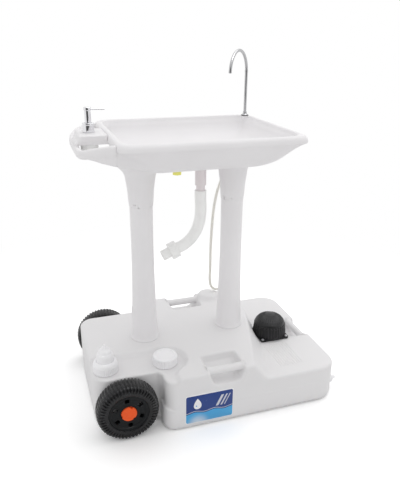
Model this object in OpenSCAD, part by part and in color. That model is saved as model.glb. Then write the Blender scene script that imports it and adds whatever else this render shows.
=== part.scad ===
// Wheeled camp wash stand: a hollow water tank with two wheels, a foot pump, two plug-in columns
// and a basin with a towel rail, a soap pump and a swivelling spout.
// X runs along the tank away from the wheels, Y to the back, Z up. The origin is on the tank's underside.

/* [Tank] */
// Left end of the tank, beside the wheels
tank_left = -313; // [-330:1:-300]
// Right end of the tank, beside the foot pump
tank_right = 316; // [300:1:330]
// Half of the tank's full width
tank_half_w = 211; // [205:1:220]
// Half of the tank's width between the wheels
neck_half_w = 150; // [148:1:151]
// Height of the upper deck, which carries the columns
deck_z = 151; // [148:1:156]
// Height of the lower deck, which carries the foot pump
step_z = 104; // [100:1:108]
// Height of the sunken shelf under the two caps
shelf_z = 140; // [138:1:142]
// Thickness of the tank's wall
wall = 4; // [3:0.5:5]

/* [Wheels] */
// Outer diameter of a tyre
wheel_d = 150; // [146:1:150]
// Width of a tyre
wheel_w = 50; // [46:1:50]
// Place of the axle along the tank
axle_x = -242; // [-245:1:-240]
// Diameter of the steel axle
axle_d = 10; // [8:1:12]
// Number of oblique lugs round a tyre
tyre_lugs = 52; // [36:2:60]

/* [Caps] */
// Place of the fill cap
fill_at = [-131, -117];
// Diameter of the fill cap
fill_cap_d = 62; // [60:1:64]
// Place of the pouring spout
spout_at = [-278, -105];
// Diameter of the spout's screw ring
spout_ring_d = 61; // [60:1:64]

/* [Foot pump] */
// Centre of the foot pump
pump_at = [207, -8];
// Side of the square base plate
pump_plate = 84; // [80:1:88]
// Stroke of the foot pump
pump_stroke = 28; // [20:1:30]

/* [Columns] */
// Place of the left column along the tank
column_left_x = -153; // [-155:1:-150]
// Place of the right column along the tank
column_right_x = 86; // [84:1:88]
// Place of both columns across the tank
column_y = 9; // [0:1:12]
// Height at which a column ends in the basin's socket
socket_z = 515; // [500:1:530]

/* [Basin] */
// Height of the basin's rim
rim_z = 700; // [690:1:720]
// Left side of the rim
rim_left = -234; // [-240:1:-230]
// Right side of the rim
rim_right = 202; // [198:1:206]
// Front of the rim
rim_front = -174; // [-178:1:-170]
// Back of the rim
rim_back = 193; // [190:1:196]
// Centre of the drain
drain_at = [0, 9];
// Foot of the spout tube
faucet_at = [179, 166];
// Centre of the soap pump
soap_at = [-268, 9];

/* [Hidden] */

$fn = 64;
clear = 0.3;          // gap between pieces that move past each other
running = 0.06;       // radial play of the wheels on the axle
axle_z = wheel_d / 2;
wheel_in = neck_half_w + 5.5;   // inner side face of a wheel
wheel_out = wheel_in + wheel_w;
handle_x = 3;         // middle of the front and back hand holds
handle_y = 4;         // middle of the end hand hold
bar_d = 19;
bar_len = 100;
side_inset = 24;      // from the tank's side to the middle of a side hand hold's bar
side_reach = 84;
end_inset = 19;
end_reach = 62;
hump_at = [84, 177];
elbow_at = [134, 178];
elbow_z = 171;
plug_y = -157;
plug_z = 26;
plug_x = tank_right + 1;      // face of the drain plug's boss
column_foot = 42;     // depth of a column's foot in the tank
column_play = 0.08;
bore_top = 586;       // roof of the basin's sockets
skirt_h = 18;         // height of the rim's outer band
skin = 3.5;           // wall of the basin's two shells
faucet_boss = 26;     // depth of the boss under the spout's foot

// ---- plans, rings and sweeps ----

function arc(c, r, a0, a1, n) =
    [for (i = [0:n]) let (a = a0 + (a1 - a0) * i / n) [c[0] + r * cos(a), c[1] + r * sin(a)]];

// Rectangle with round corners, one radius for each end
function plan(x0, x1, y0, y1, rl, rr, n = 6) = concat(
    arc([x1 - rr, y1 - rr], rr, 0, 90, n), arc([x0 + rl, y1 - rl], rl, 90, 180, n),
    arc([x0 + rl, y0 + rl], rl, 180, 270, n), arc([x1 - rr, y0 + rr], rr, 270, 360, n));

function raise(points, z) = [for (p = points) [p[0], p[1], z]];

// Closed skin over rings of equal count, each ring anticlockwise from above
module loft(rings) {
    n = len(rings[0]);
    m = len(rings);
    sides = [for (i = [0:m - 2], j = [0:n - 1]) let (a = i * n + j, b = i * n + (j + 1) % n)
        each [[a, a + n, b + n], [a, b + n, b]]];
    polyhedron([for (r = rings) each r],
        concat([[for (j = [0:n - 1]) j]], sides, [[for (j = [n - 1:-1:0]) (m - 1) * n + j]]),
        convexity = 8);
}

// Block with a round lower and upper edge
module soft_block(x0, x1, y0, y1, z0, z1, rl, rr, low, top, steps = 3) {
    under = [for (i = [0:steps]) let (a = 90 * i / steps) [low * (1 - sin(a)), z0 + low * (1 - cos(a))]];
    over = [for (i = [0:steps]) let (a = 90 * i / steps) [top * (1 - cos(a)), z1 - top * (1 - sin(a))]];
    loft([for (s = concat(under, over)) let (d = s[0])
        raise(plan(x0 + d, x1 - d, y0 + d, y1 - d, rl - d, rr - d), s[1])]);
}

// Direction of a path at one of its points
function heading(path, i) = let (
    a = path[max(i - 1, 0)],
    b = path[min(i + 1, len(path) - 1)]) (b - a) / norm(b - a);

// Tube of elliptic section along a path that never runs along the direction up; tall lies in that direction
module sweep(path, wide, tall, sides = 12, up = [0, 0, 1]) {
    rings = [for (i = [0:len(path) - 1]) let (
        t = heading(path, i),
        u = cross(up, t) / norm(cross(up, t)),
        v = cross(t, u))
        [for (k = [0:sides - 1]) let (a = 360 * k / sides)
            path[i] + wide / 2 * cos(a) * u + tall / 2 * sin(a) * v]];
    n = sides;
    m = len(path);
    skin_faces = [for (i = [0:m - 2], j = [0:n - 1]) let (a = i * n + j, b = i * n + (j + 1) % n)
        each [[a, a + n, b + n], [a, b + n, b]]];
    polyhedron([for (r = rings) each r],
        concat([[for (j = [0:n - 1]) j]], skin_faces, [[for (j = [n - 1:-1:0]) (m - 1) * n + j]]),
        convexity = 8);
}

// Points of a smooth curve through hand-placed points
function between(p0, p1, p2, p3, t) = 0.5 * ((2 * p1) + (p2 - p0) * t
    + (2 * p0 - 5 * p1 + 4 * p2 - p3) * t * t + (3 * p1 - p0 - 3 * p2 + p3) * t * t * t);
function smooth(pts, n) = concat([for (i = [0:len(pts) - 2], k = [0:n - 1]) between(
    pts[max(i - 1, 0)], pts[i], pts[i + 1], pts[min(i + 2, len(pts) - 1)], k / n)],
    [pts[len(pts) - 1]]);

module at(p, z = 0) translate([p[0], p[1], z]) children();

module ring(r_out, r_in, h) difference() {
    cylinder(r = r_out, h = h);
    translate([0, 0, -1]) cylinder(r = r_in, h = h + 2);
}

// Round body with upright grip ribs
module ribbed(r, depth, ribs, h) linear_extrude(h)
    polygon([for (i = [0:ribs - 1], k = [0:3]) let (
        a = (i + [0, 0.25, 0.5, 0.75][k]) * 360 / ribs,
        s = k < 2 ? r : r - depth) [s * cos(a), s * sin(a)]]);

module coil(r, wire, turns, z0, z1, steps = 12) sweep([for (i = [0:turns * steps])
    let (a = 360 * i / steps) [r * cos(a), r * sin(a), z0 + (z1 - z0) * i / (turns * steps)]], wire, wire, 6);

// ---- tank ----

// Edge of the upper deck towards the foot pump: raked at the front, bulging at the back, round at its corner
deck_corner = 45;
function corner_in(y) = deck_corner * (1 - sqrt(1 - pow(min(max(y + deck_corner - tank_half_w, 0)
    / deck_corner, 1), 2)));
function deck_edge(y) = (y < 0 ? 147 + 0.33 * y : 147 + 14 * sin(min(y, 90))) - corner_in(y);
function ramp_run(y) = 20 + 12 * min(max(-y / 60, 0), 1);

well_x = -155;        // side of the tank behind each wheel
corner = 20;          // radius of that side's outer corner
function deck_plan(d, h) = concat(
    arc([well_x + corner, tank_half_w - corner], corner - d, 90, 180, 6),
    arc([well_x + corner, corner - tank_half_w], corner - d, 180, 270, 6),
    [for (i = [0:20]) let (y = (tank_half_w - d) * (i / 10 - 1), q = y * tank_half_w / (tank_half_w - d))
        [deck_edge(q) - d + ramp_run(q) * (1 - h), y]]);

module upper_deck() {
    rise = deck_z - step_z;
    edge = 7;
    loft(concat([raise(deck_plan(0, 0), step_z - 20), raise(deck_plan(0, 0), step_z)],
        [for (i = [0:3]) let (a = 30 * i, z = deck_z - edge * (1 - sin(a)))
            raise(deck_plan(edge * (1 - cos(a)), (z - step_z) / rise), z)]));
}

// Sunken shelf round the two caps, open to the left end and the wheel wells
function shelf_plan(d) = concat([[-340, -240], [-116 - d, -240], [-116 - d, -186]],
    arc(fill_at, 57 - d, -56, 101, 14), [[-340, fill_at[1] + 55 - d]]);
module shelf_cut() loft([raise(shelf_plan(10), shelf_z), raise(shelf_plan(0), deck_z - 1.5),
    raise(shelf_plan(-2), deck_z + 1)]);

// Scooped hand hold in the -Y side of a deck, reaching so far in
module scoop(deck, reach) translate([0, 0, deck]) loft([
    raise(plan(-27, 27, -60, 0.31 * reach, 6, 6), -39), raise(plan(-35, 35, -60, 0.62 * reach, 8, 8), -32),
    raise(plan(-42, 42, -60, 0.9 * reach, 9, 9), -18), raise(plan(-46, 46, -60, 0.98 * reach, 10, 10), -2),
    raise(plan(-48, 48, -60, reach, 10, 10), 2)]);

module handle_spots() {
    translate([handle_x, -tank_half_w, 0]) children();
    translate([handle_x, tank_half_w, 0]) mirror([0, 1, 0]) children();
}
module end_spot() translate([tank_right, handle_y, 0]) rotate([0, 0, 90]) children();

module handle_bar(deck, inset) translate([-bar_len / 2, inset, deck - 10]) rotate([0, 90, 0])
    cylinder(r = bar_d / 2, h = bar_len);

module tank_outside() {
    soft_block(well_x, tank_right, -tank_half_w, tank_half_w, 0, step_z, corner, 50, 14, 7);
    soft_block(tank_left, -100, -neck_half_w, neck_half_w, 0, deck_z, 38, 12, 11.5, 7);
    upper_deck();
    at(hump_at, deck_z - 6) rotate_extrude() polygon(concat([[0, 0], [32, 0], [31, 6]],
        arc([20, 11], 9, 10, 90, 5), [[0, 20]]));
}

module tank_inside() {
    difference() {
        soft_block(well_x + wall + 6, tank_right - wall, wall - tank_half_w, tank_half_w - wall,
            wall, step_z - wall, 12, 50 - wall, 14 - wall, 3);
        // solid round the end hand hold
        translate([tank_right - end_reach - 4, handle_y - 53, step_z - 44]) cube([70, 106, 60]);
    }
    soft_block(tank_left + wall, -100, wall - neck_half_w, neck_half_w - wall,
        wall, shelf_z - wall, 38 - wall, 12 - wall, 11.5 - wall, 3);
    translate([0, 0, step_z - 12]) {
        linear_extrude(deck_z - wall - step_z + 12) {
            translate([tank_left + wall, -50]) square([420, 170]);
            translate([-60, -116]) square([150, 70]);
            translate([60, -198]) square([10, 90]);
            translate([60, 110]) square([82, 82]);
            translate([-145, 110]) square([95, 92]);
            translate([100, 0]) square([36, 120]);
        }
        linear_extrude(shelf_z - wall - step_z + 12) translate([-145, -200]) square([24, 170]);
    }
}

neck_r = 26;
neck_top = shelf_z + 18;
spout_neck_r = 24;
spout_neck_top = shelf_z + 22;
module tank_neck(p, r_out, r_in, top) at(p, shelf_z - wall) {
    ring(r_out, r_in, top - shelf_z + wall);
    for (k = [0:2]) translate([0, 0, wall + 3 + 4 * k]) ring(r_out + 0.9, r_out - 1, 1.4);
}

module across(x, z, r, length) translate([x, length / 2, z]) rotate([90, 0, 0]) cylinder(r = r, h = length);

module tank_body() color("gainsboro") difference() {
    union() {
        difference() {
            tank_outside();
            tank_inside();
            shelf_cut();
        }
        for (x = [column_left_x, column_right_x]) at([x, column_y], deck_z - column_foot - wall)
            cylinder(r = 33, h = column_foot + wall - 1);
        across(axle_x, axle_z, 9, 2 * neck_half_w - 2);
        tank_neck(fill_at, neck_r, 20, neck_top);
        tank_neck(spout_at, spout_neck_r, 18, spout_neck_top);
        on_end(plug_x - 6) cylinder(r = 14, h = 6);
    }
    handle_spots() {
        scoop(deck_z, side_reach);
        handle_bar(deck_z, side_inset);
    }
    end_spot() {
        scoop(step_z, end_reach);
        handle_bar(step_z, end_inset);
    }
    for (x = [column_left_x, column_right_x]) at([x, column_y], deck_z - column_foot)
        cylinder(r = 28.5 + column_play, h = 60);
    across(axle_x, axle_z, axle_d / 2, 320);
    at(fill_at, 100) cylinder(r = 20, h = 80);
    at(spout_at, 100) cylinder(r = 18, h = 80);
    // well of the foot pump, and room for its plate and skirt in the foot of the ramp
    at(pump_at, step_z - 10) cylinder(r = 30, h = 20);
    at(pump_at, step_z) linear_extrude(60) {
        square_plan(pump_plate + 3, 6);
        circle(r = 49);
    }
    for (sx = [-1, 1], sy = [-1, 1]) at(pump_at + 36 * [sx, sy], step_z - 3) cylinder(r = 1.5, h = 6);
    at(elbow_at, deck_z - 10) cylinder(r = 6, h = 20);
    on_end(tank_right - 10) cylinder(r = 8, h = 20);
    // tread grooves of the foot rest
    for (k = [0:9]) translate([172 + 12 * k, -176, step_z - 0.8]) cube([3, 108, 2]);
}

module front_handle_bar() color("gainsboro") translate([handle_x, -tank_half_w, 0])
    handle_bar(deck_z, side_inset);
module back_handle_bar() color("gainsboro") translate([handle_x, tank_half_w, 0]) mirror([0, 1, 0])
    handle_bar(deck_z, side_inset);
module end_handle_bar() color("gainsboro") end_spot() handle_bar(step_z, end_inset);

module tank_label() color("navy") translate([-107, -tank_half_w, 16]) rotate([90, 0, 0])
    linear_extrude(0.4) polygon(plan(0, 125, 0, 82, 5, 5));

// ---- axle and wheels ----

module axle() color("silver") across(axle_x, axle_z, axle_d / 2, 2 * wheel_out - 18);

module both_ends() {
    children();
    mirror([0, 1, 0]) children();
}
// Ring on the axle, from y to y + h on the back wheel's side
module on_axle(y) translate([axle_x, y, axle_z]) rotate([-90, 0, 0]) children();

module axle_push_nuts() color("silver") both_ends() on_axle(wheel_out - 13) ring(9, axle_d / 2, 2);
module wheel_washers() color("silver") both_ends() on_axle(neck_half_w) ring(11, axle_d / 2, 1.5);

// Tyre section from its inner face, round the tread, to its outer face
tyre_r = wheel_d / 2;
tyre_seat = 49;       // radius at which a tyre sits on its hub
tread_at = [-1, -0.95, -0.8, -0.5, 0, 0.5, 0.8, 0.95, 1];
lug_h = 2.2;
function tread(t) = [wheel_w / 2 * (1 + t), tyre_r - 14 * (1 - sqrt(1 - pow(t, 4)))];
module tyre() {
    steps = 2 * tyre_lugs;
    section = concat([[2, tyre_seat], [1, 53]], [for (t = tread_at) tread(t)],
        [[wheel_w - 1, 53], [wheel_w - 2, tyre_seat]]);
    m = len(section);
    function point(i, j) = let (
        s = section[j],
        skew = 1.4 * abs(s[0] - wheel_w / 2) * 2 / wheel_w,
        a = 360 * (i + skew) / steps - 90,
        r = s[1] - (j > 2 && j < m - 3 && i % 2 == 1 ? lug_h : 0))
        [r * cos(a), r * sin(a), s[0]];
    points = [for (i = [0:steps - 1], j = [0:m - 1]) point(i, j)];
    faces = [for (i = [0:steps - 1], j = [0:m - 1]) let (
        i2 = (i + 1) % steps,
        j2 = (j + 1) % m) each [[i * m + j, i * m + j2, i2 * m + j2], [i * m + j, i2 * m + j2, i2 * m + j]]];
    polyhedron(points, faces, convexity = 6);
}

// Hub: rim, dished web with six square windows, and a long boss on the axle
module hub() difference() {
    union() {
        translate([0, 0, 3]) ring(tyre_seat * cos(180 / (2 * tyre_lugs)) - 0.1, 41, wheel_w - 6);
        translate([0, 0, wheel_w - 20]) cylinder(r = 42, h = 4);
        translate([0, 0, 1.5 - 5.5]) cylinder(r = 13, h = 35);
        translate([0, 0, wheel_w - 17]) ring(20, 17.5, 9);
    }
    translate([0, 0, -10]) cylinder(r = axle_d / 2 + running, h = wheel_w + 20);
    for (k = [0:5]) rotate(60 * k + 20) translate([26, -4.5, wheel_w - 30]) cube([9, 9, 20]);
}

// Push-in cover of the hub, with three notches in its edge
module hub_cap() difference() {
    union() {
        cylinder(r = 17, h = 10);
        translate([0, 0, 10]) cylinder(r1 = 17, r2 = 15, h = 1.5);
    }
    translate([0, 0, -1]) cylinder(r = 14.5, h = 9);
    for (k = [0:2]) rotate(120 * k + 70) translate([17.5, 0, 5]) cylinder(r = 3.2, h = 10);
}

module on_wheel(side) translate([axle_x, side * wheel_in, axle_z]) rotate([-90 * side, 0, 0]) children();
module front_tyre() color("black") on_wheel(-1) tyre();
module back_tyre() color("black") on_wheel(1) tyre();
module front_hub() color("dimgray") on_wheel(-1) hub();
module back_hub() color("dimgray") on_wheel(1) hub();
cap_seat = wheel_w - 16;
module front_hub_cap() color("orangered") on_wheel(-1) translate([0, 0, cap_seat]) hub_cap();
module back_hub_cap() color("orangered") on_wheel(1) translate([0, 0, cap_seat]) hub_cap();

// ---- caps ----

gasket_t = 2;
module fill_cap_gasket() color("dimgray") at(fill_at, neck_top) ring(neck_r - 0.5, 20, gasket_t);
module fill_cap() color("white") at(fill_at, shelf_z + 1) difference() {
    union() {
        ribbed(fill_cap_d / 2, 0.9, 36, 20);
        translate([0, 0, 19.5]) cylinder(r1 = fill_cap_d / 2 - 1.2, r2 = fill_cap_d / 2 - 3, h = 4);
    }
    translate([0, 0, -1]) cylinder(r = neck_r + 1.2, h = neck_top + gasket_t - shelf_z);
    translate([0, 0, 21.5]) cylinder(r = 23.5, h = 3);
}

// The spout's flange is held on its neck by a screw ring
flange_z = spout_neck_top + gasket_t;
module spout_gasket() color("dimgray") at(spout_at, spout_neck_top) ring(spout_neck_r - 0.5, 18, gasket_t);
nozzle_r = 20.8;
nozzle_h = 45;
module spout_nozzle() color("white") at(spout_at, flange_z) rotate_extrude() polygon([
    [18, 0], [23.5, 0], [23.5, 3], [nozzle_r, 3], [nozzle_r, 10], [20.3, 18], [18.4, 26.5],
    [15, 33.5], [10.5, 39.5], [6, 43.5], [4.5, nozzle_h], [3, nozzle_h], [3, 39], [8, 36], [12.4, 30.5],
    [15.6, 24.5], [17.4, 17.5], [18, 10]]);
module spout_ring() color("white") at(spout_at, shelf_z + 1) difference() {
    union() {
        ribbed(spout_ring_d / 2, 0.8, 40, 19);
        rotate_extrude() polygon([[0, 15], [29.4, 15], [29.4, 19.5], [28.4, 24.5], [26, 28.2], [22.5, 30],
            [0, 30]]);
    }
    translate([0, 0, -1]) cylinder(r = spout_neck_r + 1.2, h = flange_z + 3 + clear - shelf_z);
    cylinder(r = nozzle_r + clear, h = 40);
}
module spout_tip_cap() color("white") at(spout_at, flange_z + nozzle_h) {
    cylinder(r = 3.6, h = 2);
    translate([0, 0, 2]) cylinder(r1 = 3.6, r2 = 2, h = 1.5);
    translate([0, 0, -5]) cylinder(r = 3 - 0.05, h = 5);
}

// Drain plug in the right end
module on_end(x) translate([x, plug_y, plug_z]) rotate([0, 90, 0]) children();
module drain_plug_gasket() color("dimgray") on_end(plug_x) ring(11, 8, 1.5);
module drain_plug() color("gainsboro") on_end(plug_x + 1.5) {
    ribbed(12.5, 1, 18, 9);
    translate([0, 0, 8.5]) cylinder(r1 = 11.3, r2 = 6, h = 8);
    translate([0, 0, 16]) cylinder(r = 4, h = 7);
    translate([0, 0, -9]) cylinder(r = 8 - clear, h = 9);
}

// ---- foot pump ----

plate_z = step_z + 1;
plate_top = plate_z + 4;
module square_plan(w, r) polygon(plan(-w / 2, w / 2, -w / 2, w / 2, r, r));
module at_screws() for (sx = [-1, 1], sy = [-1, 1]) translate([36 * sx, 36 * sy, 0]) children();
module pump_gasket() color("black") at(pump_at, step_z) difference() {
    linear_extrude(1) square_plan(pump_plate, 5);
    translate([0, 0, -1]) cylinder(r = 30, h = 4);
    translate([0, 0, -1]) at_screws() cylinder(r = 2.2, h = 4);
}
module pump_base() color("black") at(pump_at, plate_z) difference() {
    union() {
        linear_extrude(4) square_plan(pump_plate, 5);
        translate([0, 0, 4]) ring(40, 37, 5);
    }
    translate([0, 0, -1]) at_screws() cylinder(r = 2.2, h = 8);
    for (x = [-12, 12]) translate([x, 0, -1]) cylinder(r = 4, h = 8);
}
module pump_screws() color("whitesmoke") at(pump_at) at_screws() {
    translate([0, 0, plate_top]) cylinder(r1 = 4, r2 = 3, h = 2);
    translate([0, 0, step_z - 3]) cylinder(r = 1.5, h = 3);
    translate([0, 0, step_z]) cylinder(r = 2.2, h = plate_top - step_z);
}
// Valve box under the plate, with an inlet and an outlet chamber
box_h = 30;
outlet_h = 14;
outlet_end = 38;
module pump_valve_box() color("dimgray") at(pump_at, plate_z - box_h) difference() {
    union() {
        cylinder(r = 29, h = box_h);
        translate([12, 0, outlet_h]) rotate([-90, 0, 0]) cylinder(r = 3.9, h = outlet_end);
    }
    for (x = [-12, 12]) translate([x, 0, 6]) cylinder(r = 8, h = box_h);
    translate([-12, 0, -1]) cylinder(r = 4, h = 10);
    translate([12, 0, outlet_h]) rotate([-90, 0, 0]) cylinder(r = 2.5, h = 50);
}
module pump_valve_balls() color("silver") at(pump_at, plate_z - box_h) {
    translate([-12, 0, 10.5]) sphere(r = 6);
    translate([12, 0, 12]) sphere(r = 6);
}
module pump_suction_tube() color("white") at(pump_at + [-12, 0], 16) {
    ring(6, 4, plate_z - box_h - 16);
}
module pump_strainer() color("white") at(pump_at + [-12, 0], 6) difference() {
    cylinder(r = 10, h = 20);
    translate([0, 0, 10]) cylinder(r = 6, h = 20);
    translate([0, 0, 2]) cylinder(r = 7, h = 8);
    for (k = [0:5]) rotate(60 * k) translate([6, -1, 3]) cube([8, 2, 6]);
}
// Hand-placed route from the valve box to the elbow, under the deck
delivery_route = [[219, 24, 89], [219, 34, 89], [216, 52, 89], [206, 72, 89], [190, 92, 89.5],
    [172, 112, 90], [156, 130, 90], [143, 148, 92], [136, 162, 97], [134, 172, 107], [134, 177, 119],
    [134, 178, 130], [134, 178, 141]];
module pump_delivery_tube() color("white") difference() {
    sweep(smooth(delivery_route, 2), 10, 10, 10, [1, 0, 0]);
    translate([219, 0, 89]) rotate([-90, 0, 0]) cylinder(r = 3.92, h = pump_at[1] + outlet_end);
}

// Ribbed rubber skirt: radius and height pairs carried round with upright ribs
module fluted(profile, ribs, depth) {
    n = 2 * ribs;
    loft([for (s = profile) [for (j = [0:n - 1]) let (a = 360 * j / n, r = s[0] - (j % 2) * depth * s[2])
        [r * cos(a), r * sin(a), s[1]]]]);
}
bellows_top = plate_top + 39;
module pump_bellows() color("black") at(pump_at) difference() {
    fluted([[46.5, plate_top, 0.6], [47, plate_top + 6, 1], [46, plate_top + 20, 1],
        [43.5, plate_top + 32, 1], [42, bellows_top, 0.5]], 44, 1.4);
    translate([0, 0, plate_top - 1]) cylinder(r = 40, h = 28);
    translate([0, 0, plate_top + 26]) cylinder(r = 37, h = 30);
}
module pump_tread() color("black") at(pump_at, bellows_top) difference() {
    fluted([[41, 0, 0.4], [43.5, 2.5, 1], [43.5, 7, 1], [40, 13, 0.6], [35, 17, 0.2],
        [27, 19, 0], [12, 19.6, 0]], 36, 1.6);
    translate([0, 0, -1]) cylinder(r = 34, h = 8);
}
module pump_spring() color("silver") at(pump_at) coil(24, 3, 4, plate_top + 1.6, bellows_top + 5.4);

module hose_elbow() color("white") difference() {
    union() {
        at(elbow_at, deck_z - 10) cylinder(r = 6 - 0.02, h = elbow_z - deck_z + 10);
        at(elbow_at, deck_z) cylinder(r = 10, h = 5, $fn = 6);
        at(elbow_at, elbow_z) sphere(r = 6);
        translate([elbow_at[0], elbow_at[1], elbow_z]) rotate([0, -90, 0]) cylinder(r = 4, h = 18);
    }
    at(elbow_at, deck_z - 11) cylinder(r = 2.5, h = elbow_z - deck_z + 11);
    translate([elbow_at[0], elbow_at[1], elbow_z]) rotate([0, -90, 0]) cylinder(r = 2.2, h = 25);
}

// ---- columns ----

function column_r(z) = let (t = (z - 425) / 270) 28 + (z < 425 ? 7.4 * t * t : 5 * t * t);
module column() rotate_extrude() polygon(concat(
    [[24.5, deck_z - column_foot], [28.5, deck_z - column_foot], [28.5, deck_z], [37.5, deck_z],
        [37.5, deck_z + 3], [36.4, deck_z + 5]],
    [for (i = [0:12]) let (z = deck_z + 5 + (socket_z - deck_z - 5) * i / 12) [column_r(z), z]],
    [[25.6, socket_z], [25.6, bore_top - 1], [22, bore_top - 1], [22, socket_z - 12]],
    [for (i = [11:-1:1]) let (z = deck_z + 5 + (socket_z - deck_z - 5) * i / 12) [column_r(z) - 3.5, z]]));
module left_column() color("gainsboro") at([column_left_x, column_y]) column();
module right_column() color("gainsboro") at([column_right_x, column_y]) column();

// ---- basin ----

function rim_plan(d, r) = plan(rim_left + d, rim_right - d, rim_front + d, rim_back - d, r, r, 8);
function rim_ring(d, z, r) = raise(rim_plan(d, r), z);
// Circle with as many points as a rim ring
function drain_ring(r, z) = raise([for (a = [0:10:350]) drain_at + r * [cos(a), sin(a)]], z);

module basin_bowl() color("white") difference() {
    union() {
        loft([drain_ring(30, rim_z - 71.5), rim_ring(70, rim_z - 61.5, 24), rim_ring(48, rim_z - 56, 28),
            rim_ring(28, rim_z - 42, 34), rim_ring(21, rim_z - 26, 36), rim_ring(15.5, rim_z - skin, 38),
            rim_ring(3, rim_z - skin, 27), rim_ring(3, rim_z - skirt_h, 27),
            rim_ring(0, rim_z - skirt_h, 30), rim_ring(0, rim_z - 4, 30), rim_ring(1.3, rim_z - 1.2, 29),
            rim_ring(4, rim_z, 28), rim_ring(13, rim_z, 38), rim_ring(15.5, rim_z - 1.5, 40),
            rim_ring(18, rim_z - 6, 40), rim_ring(24, rim_z - 26, 40), rim_ring(31, rim_z - 40, 38),
            rim_ring(50, rim_z - 53, 32), rim_ring(72, rim_z - 58, 28), drain_ring(28, rim_z - 66)]);
        at(faucet_at, rim_z - faucet_boss) cylinder(r = 12, h = faucet_boss);
    }
    at(drain_at, rim_z - 80) cylinder(r = 19, h = 30);
    at(drain_at, rim_z - 68.5) cylinder(r = 24, h = 30);
    at(faucet_at, rim_z - 30) cylinder(r = 5, h = 40);
}

base_z = 613;         // underside of the basin
socket_r = 30;
plug_at = [-78, -50];
// Flare of a column's socket into the basin's underside: height and radius
flare = [[575, 34.8], [590, 36.6], [602, 40.5], [611, 47], [620, 55], [630, 63], [642, 69], [655, 71], [668, 66]];
function flare_r(i, spread) = flare[0][1] + spread * (flare[i][1] - flare[0][1]);
module socket_outside(spread) rotate_extrude() polygon(concat(
    [[0, socket_z], [socket_r, socket_z], [30.6, 530], [32.2, 555]],
    [for (i = [0:8]) [flare_r(i, spread), flare[i][0]]], [[0, flare[8][0]]]));
module socket_inside(spread) rotate_extrude() polygon(concat([[0, bore_top + 5], [26, bore_top + 5]],
    [for (i = [2:7]) [flare_r(i, spread) - 4.5, flare[i][0]]], [[60, 664], [0, 664]]));
sockets = [[column_left_x, 1.22], [column_right_x, 1]];

module basin_base() color("gainsboro") difference() {
    union() {
        loft([rim_ring(112, base_z, 22), rim_ring(92, base_z + 1.5, 30), rim_ring(72, base_z + 7, 38),
            rim_ring(52, base_z + 18, 42), rim_ring(32, base_z + 33, 42), rim_ring(14, base_z + 50, 36),
            rim_ring(3, base_z + 64, 30), rim_ring(1, rim_z - skirt_h - 1.5, 29),
            rim_ring(3.2, rim_z - skirt_h - 0.8, 27), rim_ring(3.2, rim_z - skin, 27)]);
        for (s = sockets) at([s[0], column_y]) socket_outside(s[1]);
    }
    loft([rim_ring(112, base_z + 3.5, 20), rim_ring(93, base_z + 5, 26), rim_ring(73, base_z + 10.5, 34),
        rim_ring(54, base_z + 21, 38), rim_ring(35, base_z + 34.5, 38), rim_ring(17.5, base_z + 50, 32),
        rim_ring(6.2, base_z + 64, 25), rim_ring(6.2, rim_z, 25)]);
    for (s = sockets) at([s[0], column_y]) {
        socket_inside(s[1]);
        translate([0, 0, socket_z - 1]) cylinder(r = 25.6 + column_play, h = bore_top - socket_z + 1);
    }
    at(drain_at, base_z - 5) cylinder(r = 16, h = 20);
    at(plug_at, base_z - 20) cylinder(r = 6, h = 60);
    at(faucet_at, base_z) cylinder(r = 10.5, h = 63);
}

yellow_h = 10;
module yellow_plug() color("yellow") at(plug_at, base_z - yellow_h) {
    cylinder(r = 10, h = yellow_h);
    translate([0, 0, yellow_h]) cylinder(r = 6, h = 5);
}

// Towel rail: a flat bar carried forward and back into the rim's corners
rail_half = [[-236, 150, 688], [-258, 148, 686], [-279, 134, 680], [-293, 110, 673], [-299, 78, 669],
    [-300, 40, 668]];
rail_path = concat([for (p = rail_half) [p[0], column_y - p[1], p[2]]], [[-300, column_y, 668]],
    [for (i = [len(rail_half) - 1:-1:0]) let (p = rail_half[i]) [p[0], column_y + p[1], p[2]]]);
module towel_rail() color("white") difference() {
    union() {
        intersection() {
            sweep(smooth(rail_path, 2), 15, 24, 14);
            translate([-400, -300, 600]) cube([400 + rim_left, 600, 200]);
        }
        loft([raise(plan(-306, rim_left, -32, 50, 6, 2), rim_z - 22),
            raise(plan(-298, rim_left, -38, 56, 6, 2), rim_z - 12),
            raise(plan(-294, rim_left, -40, 58, 8, 2), rim_z - 2),
            raise(plan(-292, rim_left, -38, 56, 7, 2), rim_z)]);
    }
    at(soap_at, rim_z - 40) cylinder(r = 12, h = 60);
    at(soap_at, rim_z - 40) cylinder(r = 20.3, h = 25);
}

// ---- soap pump ----

bottle_h = 50;        // depth of the soap bottle under the platform
module soap_bottle() color("white") at(soap_at, rim_z - bottle_h) rotate_extrude() polygon([
    [0, 0], [18, 0], [20, 2], [20, 30], [17, 35], [11.7, 35], [11.7, 54], [9.7, 54], [9.7, 34],
    [16, 33], [18, 29], [18, 3], [17, 2], [0, 2]]);
module soap_collar() color("silver") at(soap_at, rim_z) difference() {
    union() {
        cylinder(r = 14.6, h = 17);
        translate([0, 0, 17]) cylinder(r1 = 14.6, r2 = 15.6, h = 2);
        translate([0, 0, 19]) cylinder(r = 15.6, h = 2);
    }
    translate([0, 0, -1]) cylinder(r = 11.75, h = 11);
    cylinder(r = 8 + clear, h = 30);
}
soap_top = rim_z + 21;
soap_stroke = 12;
module soap_stem() color("silver") at(soap_at) difference() {
    union() {
        translate([0, 0, rim_z + 18]) cylinder(r = 8, h = soap_top - rim_z + 9);
        translate([0, 0, rim_z - 28]) cylinder(r = 3, h = 50);
    }
    translate([0, 0, rim_z - 30]) cylinder(r = 1.5, h = 90);
}
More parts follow.
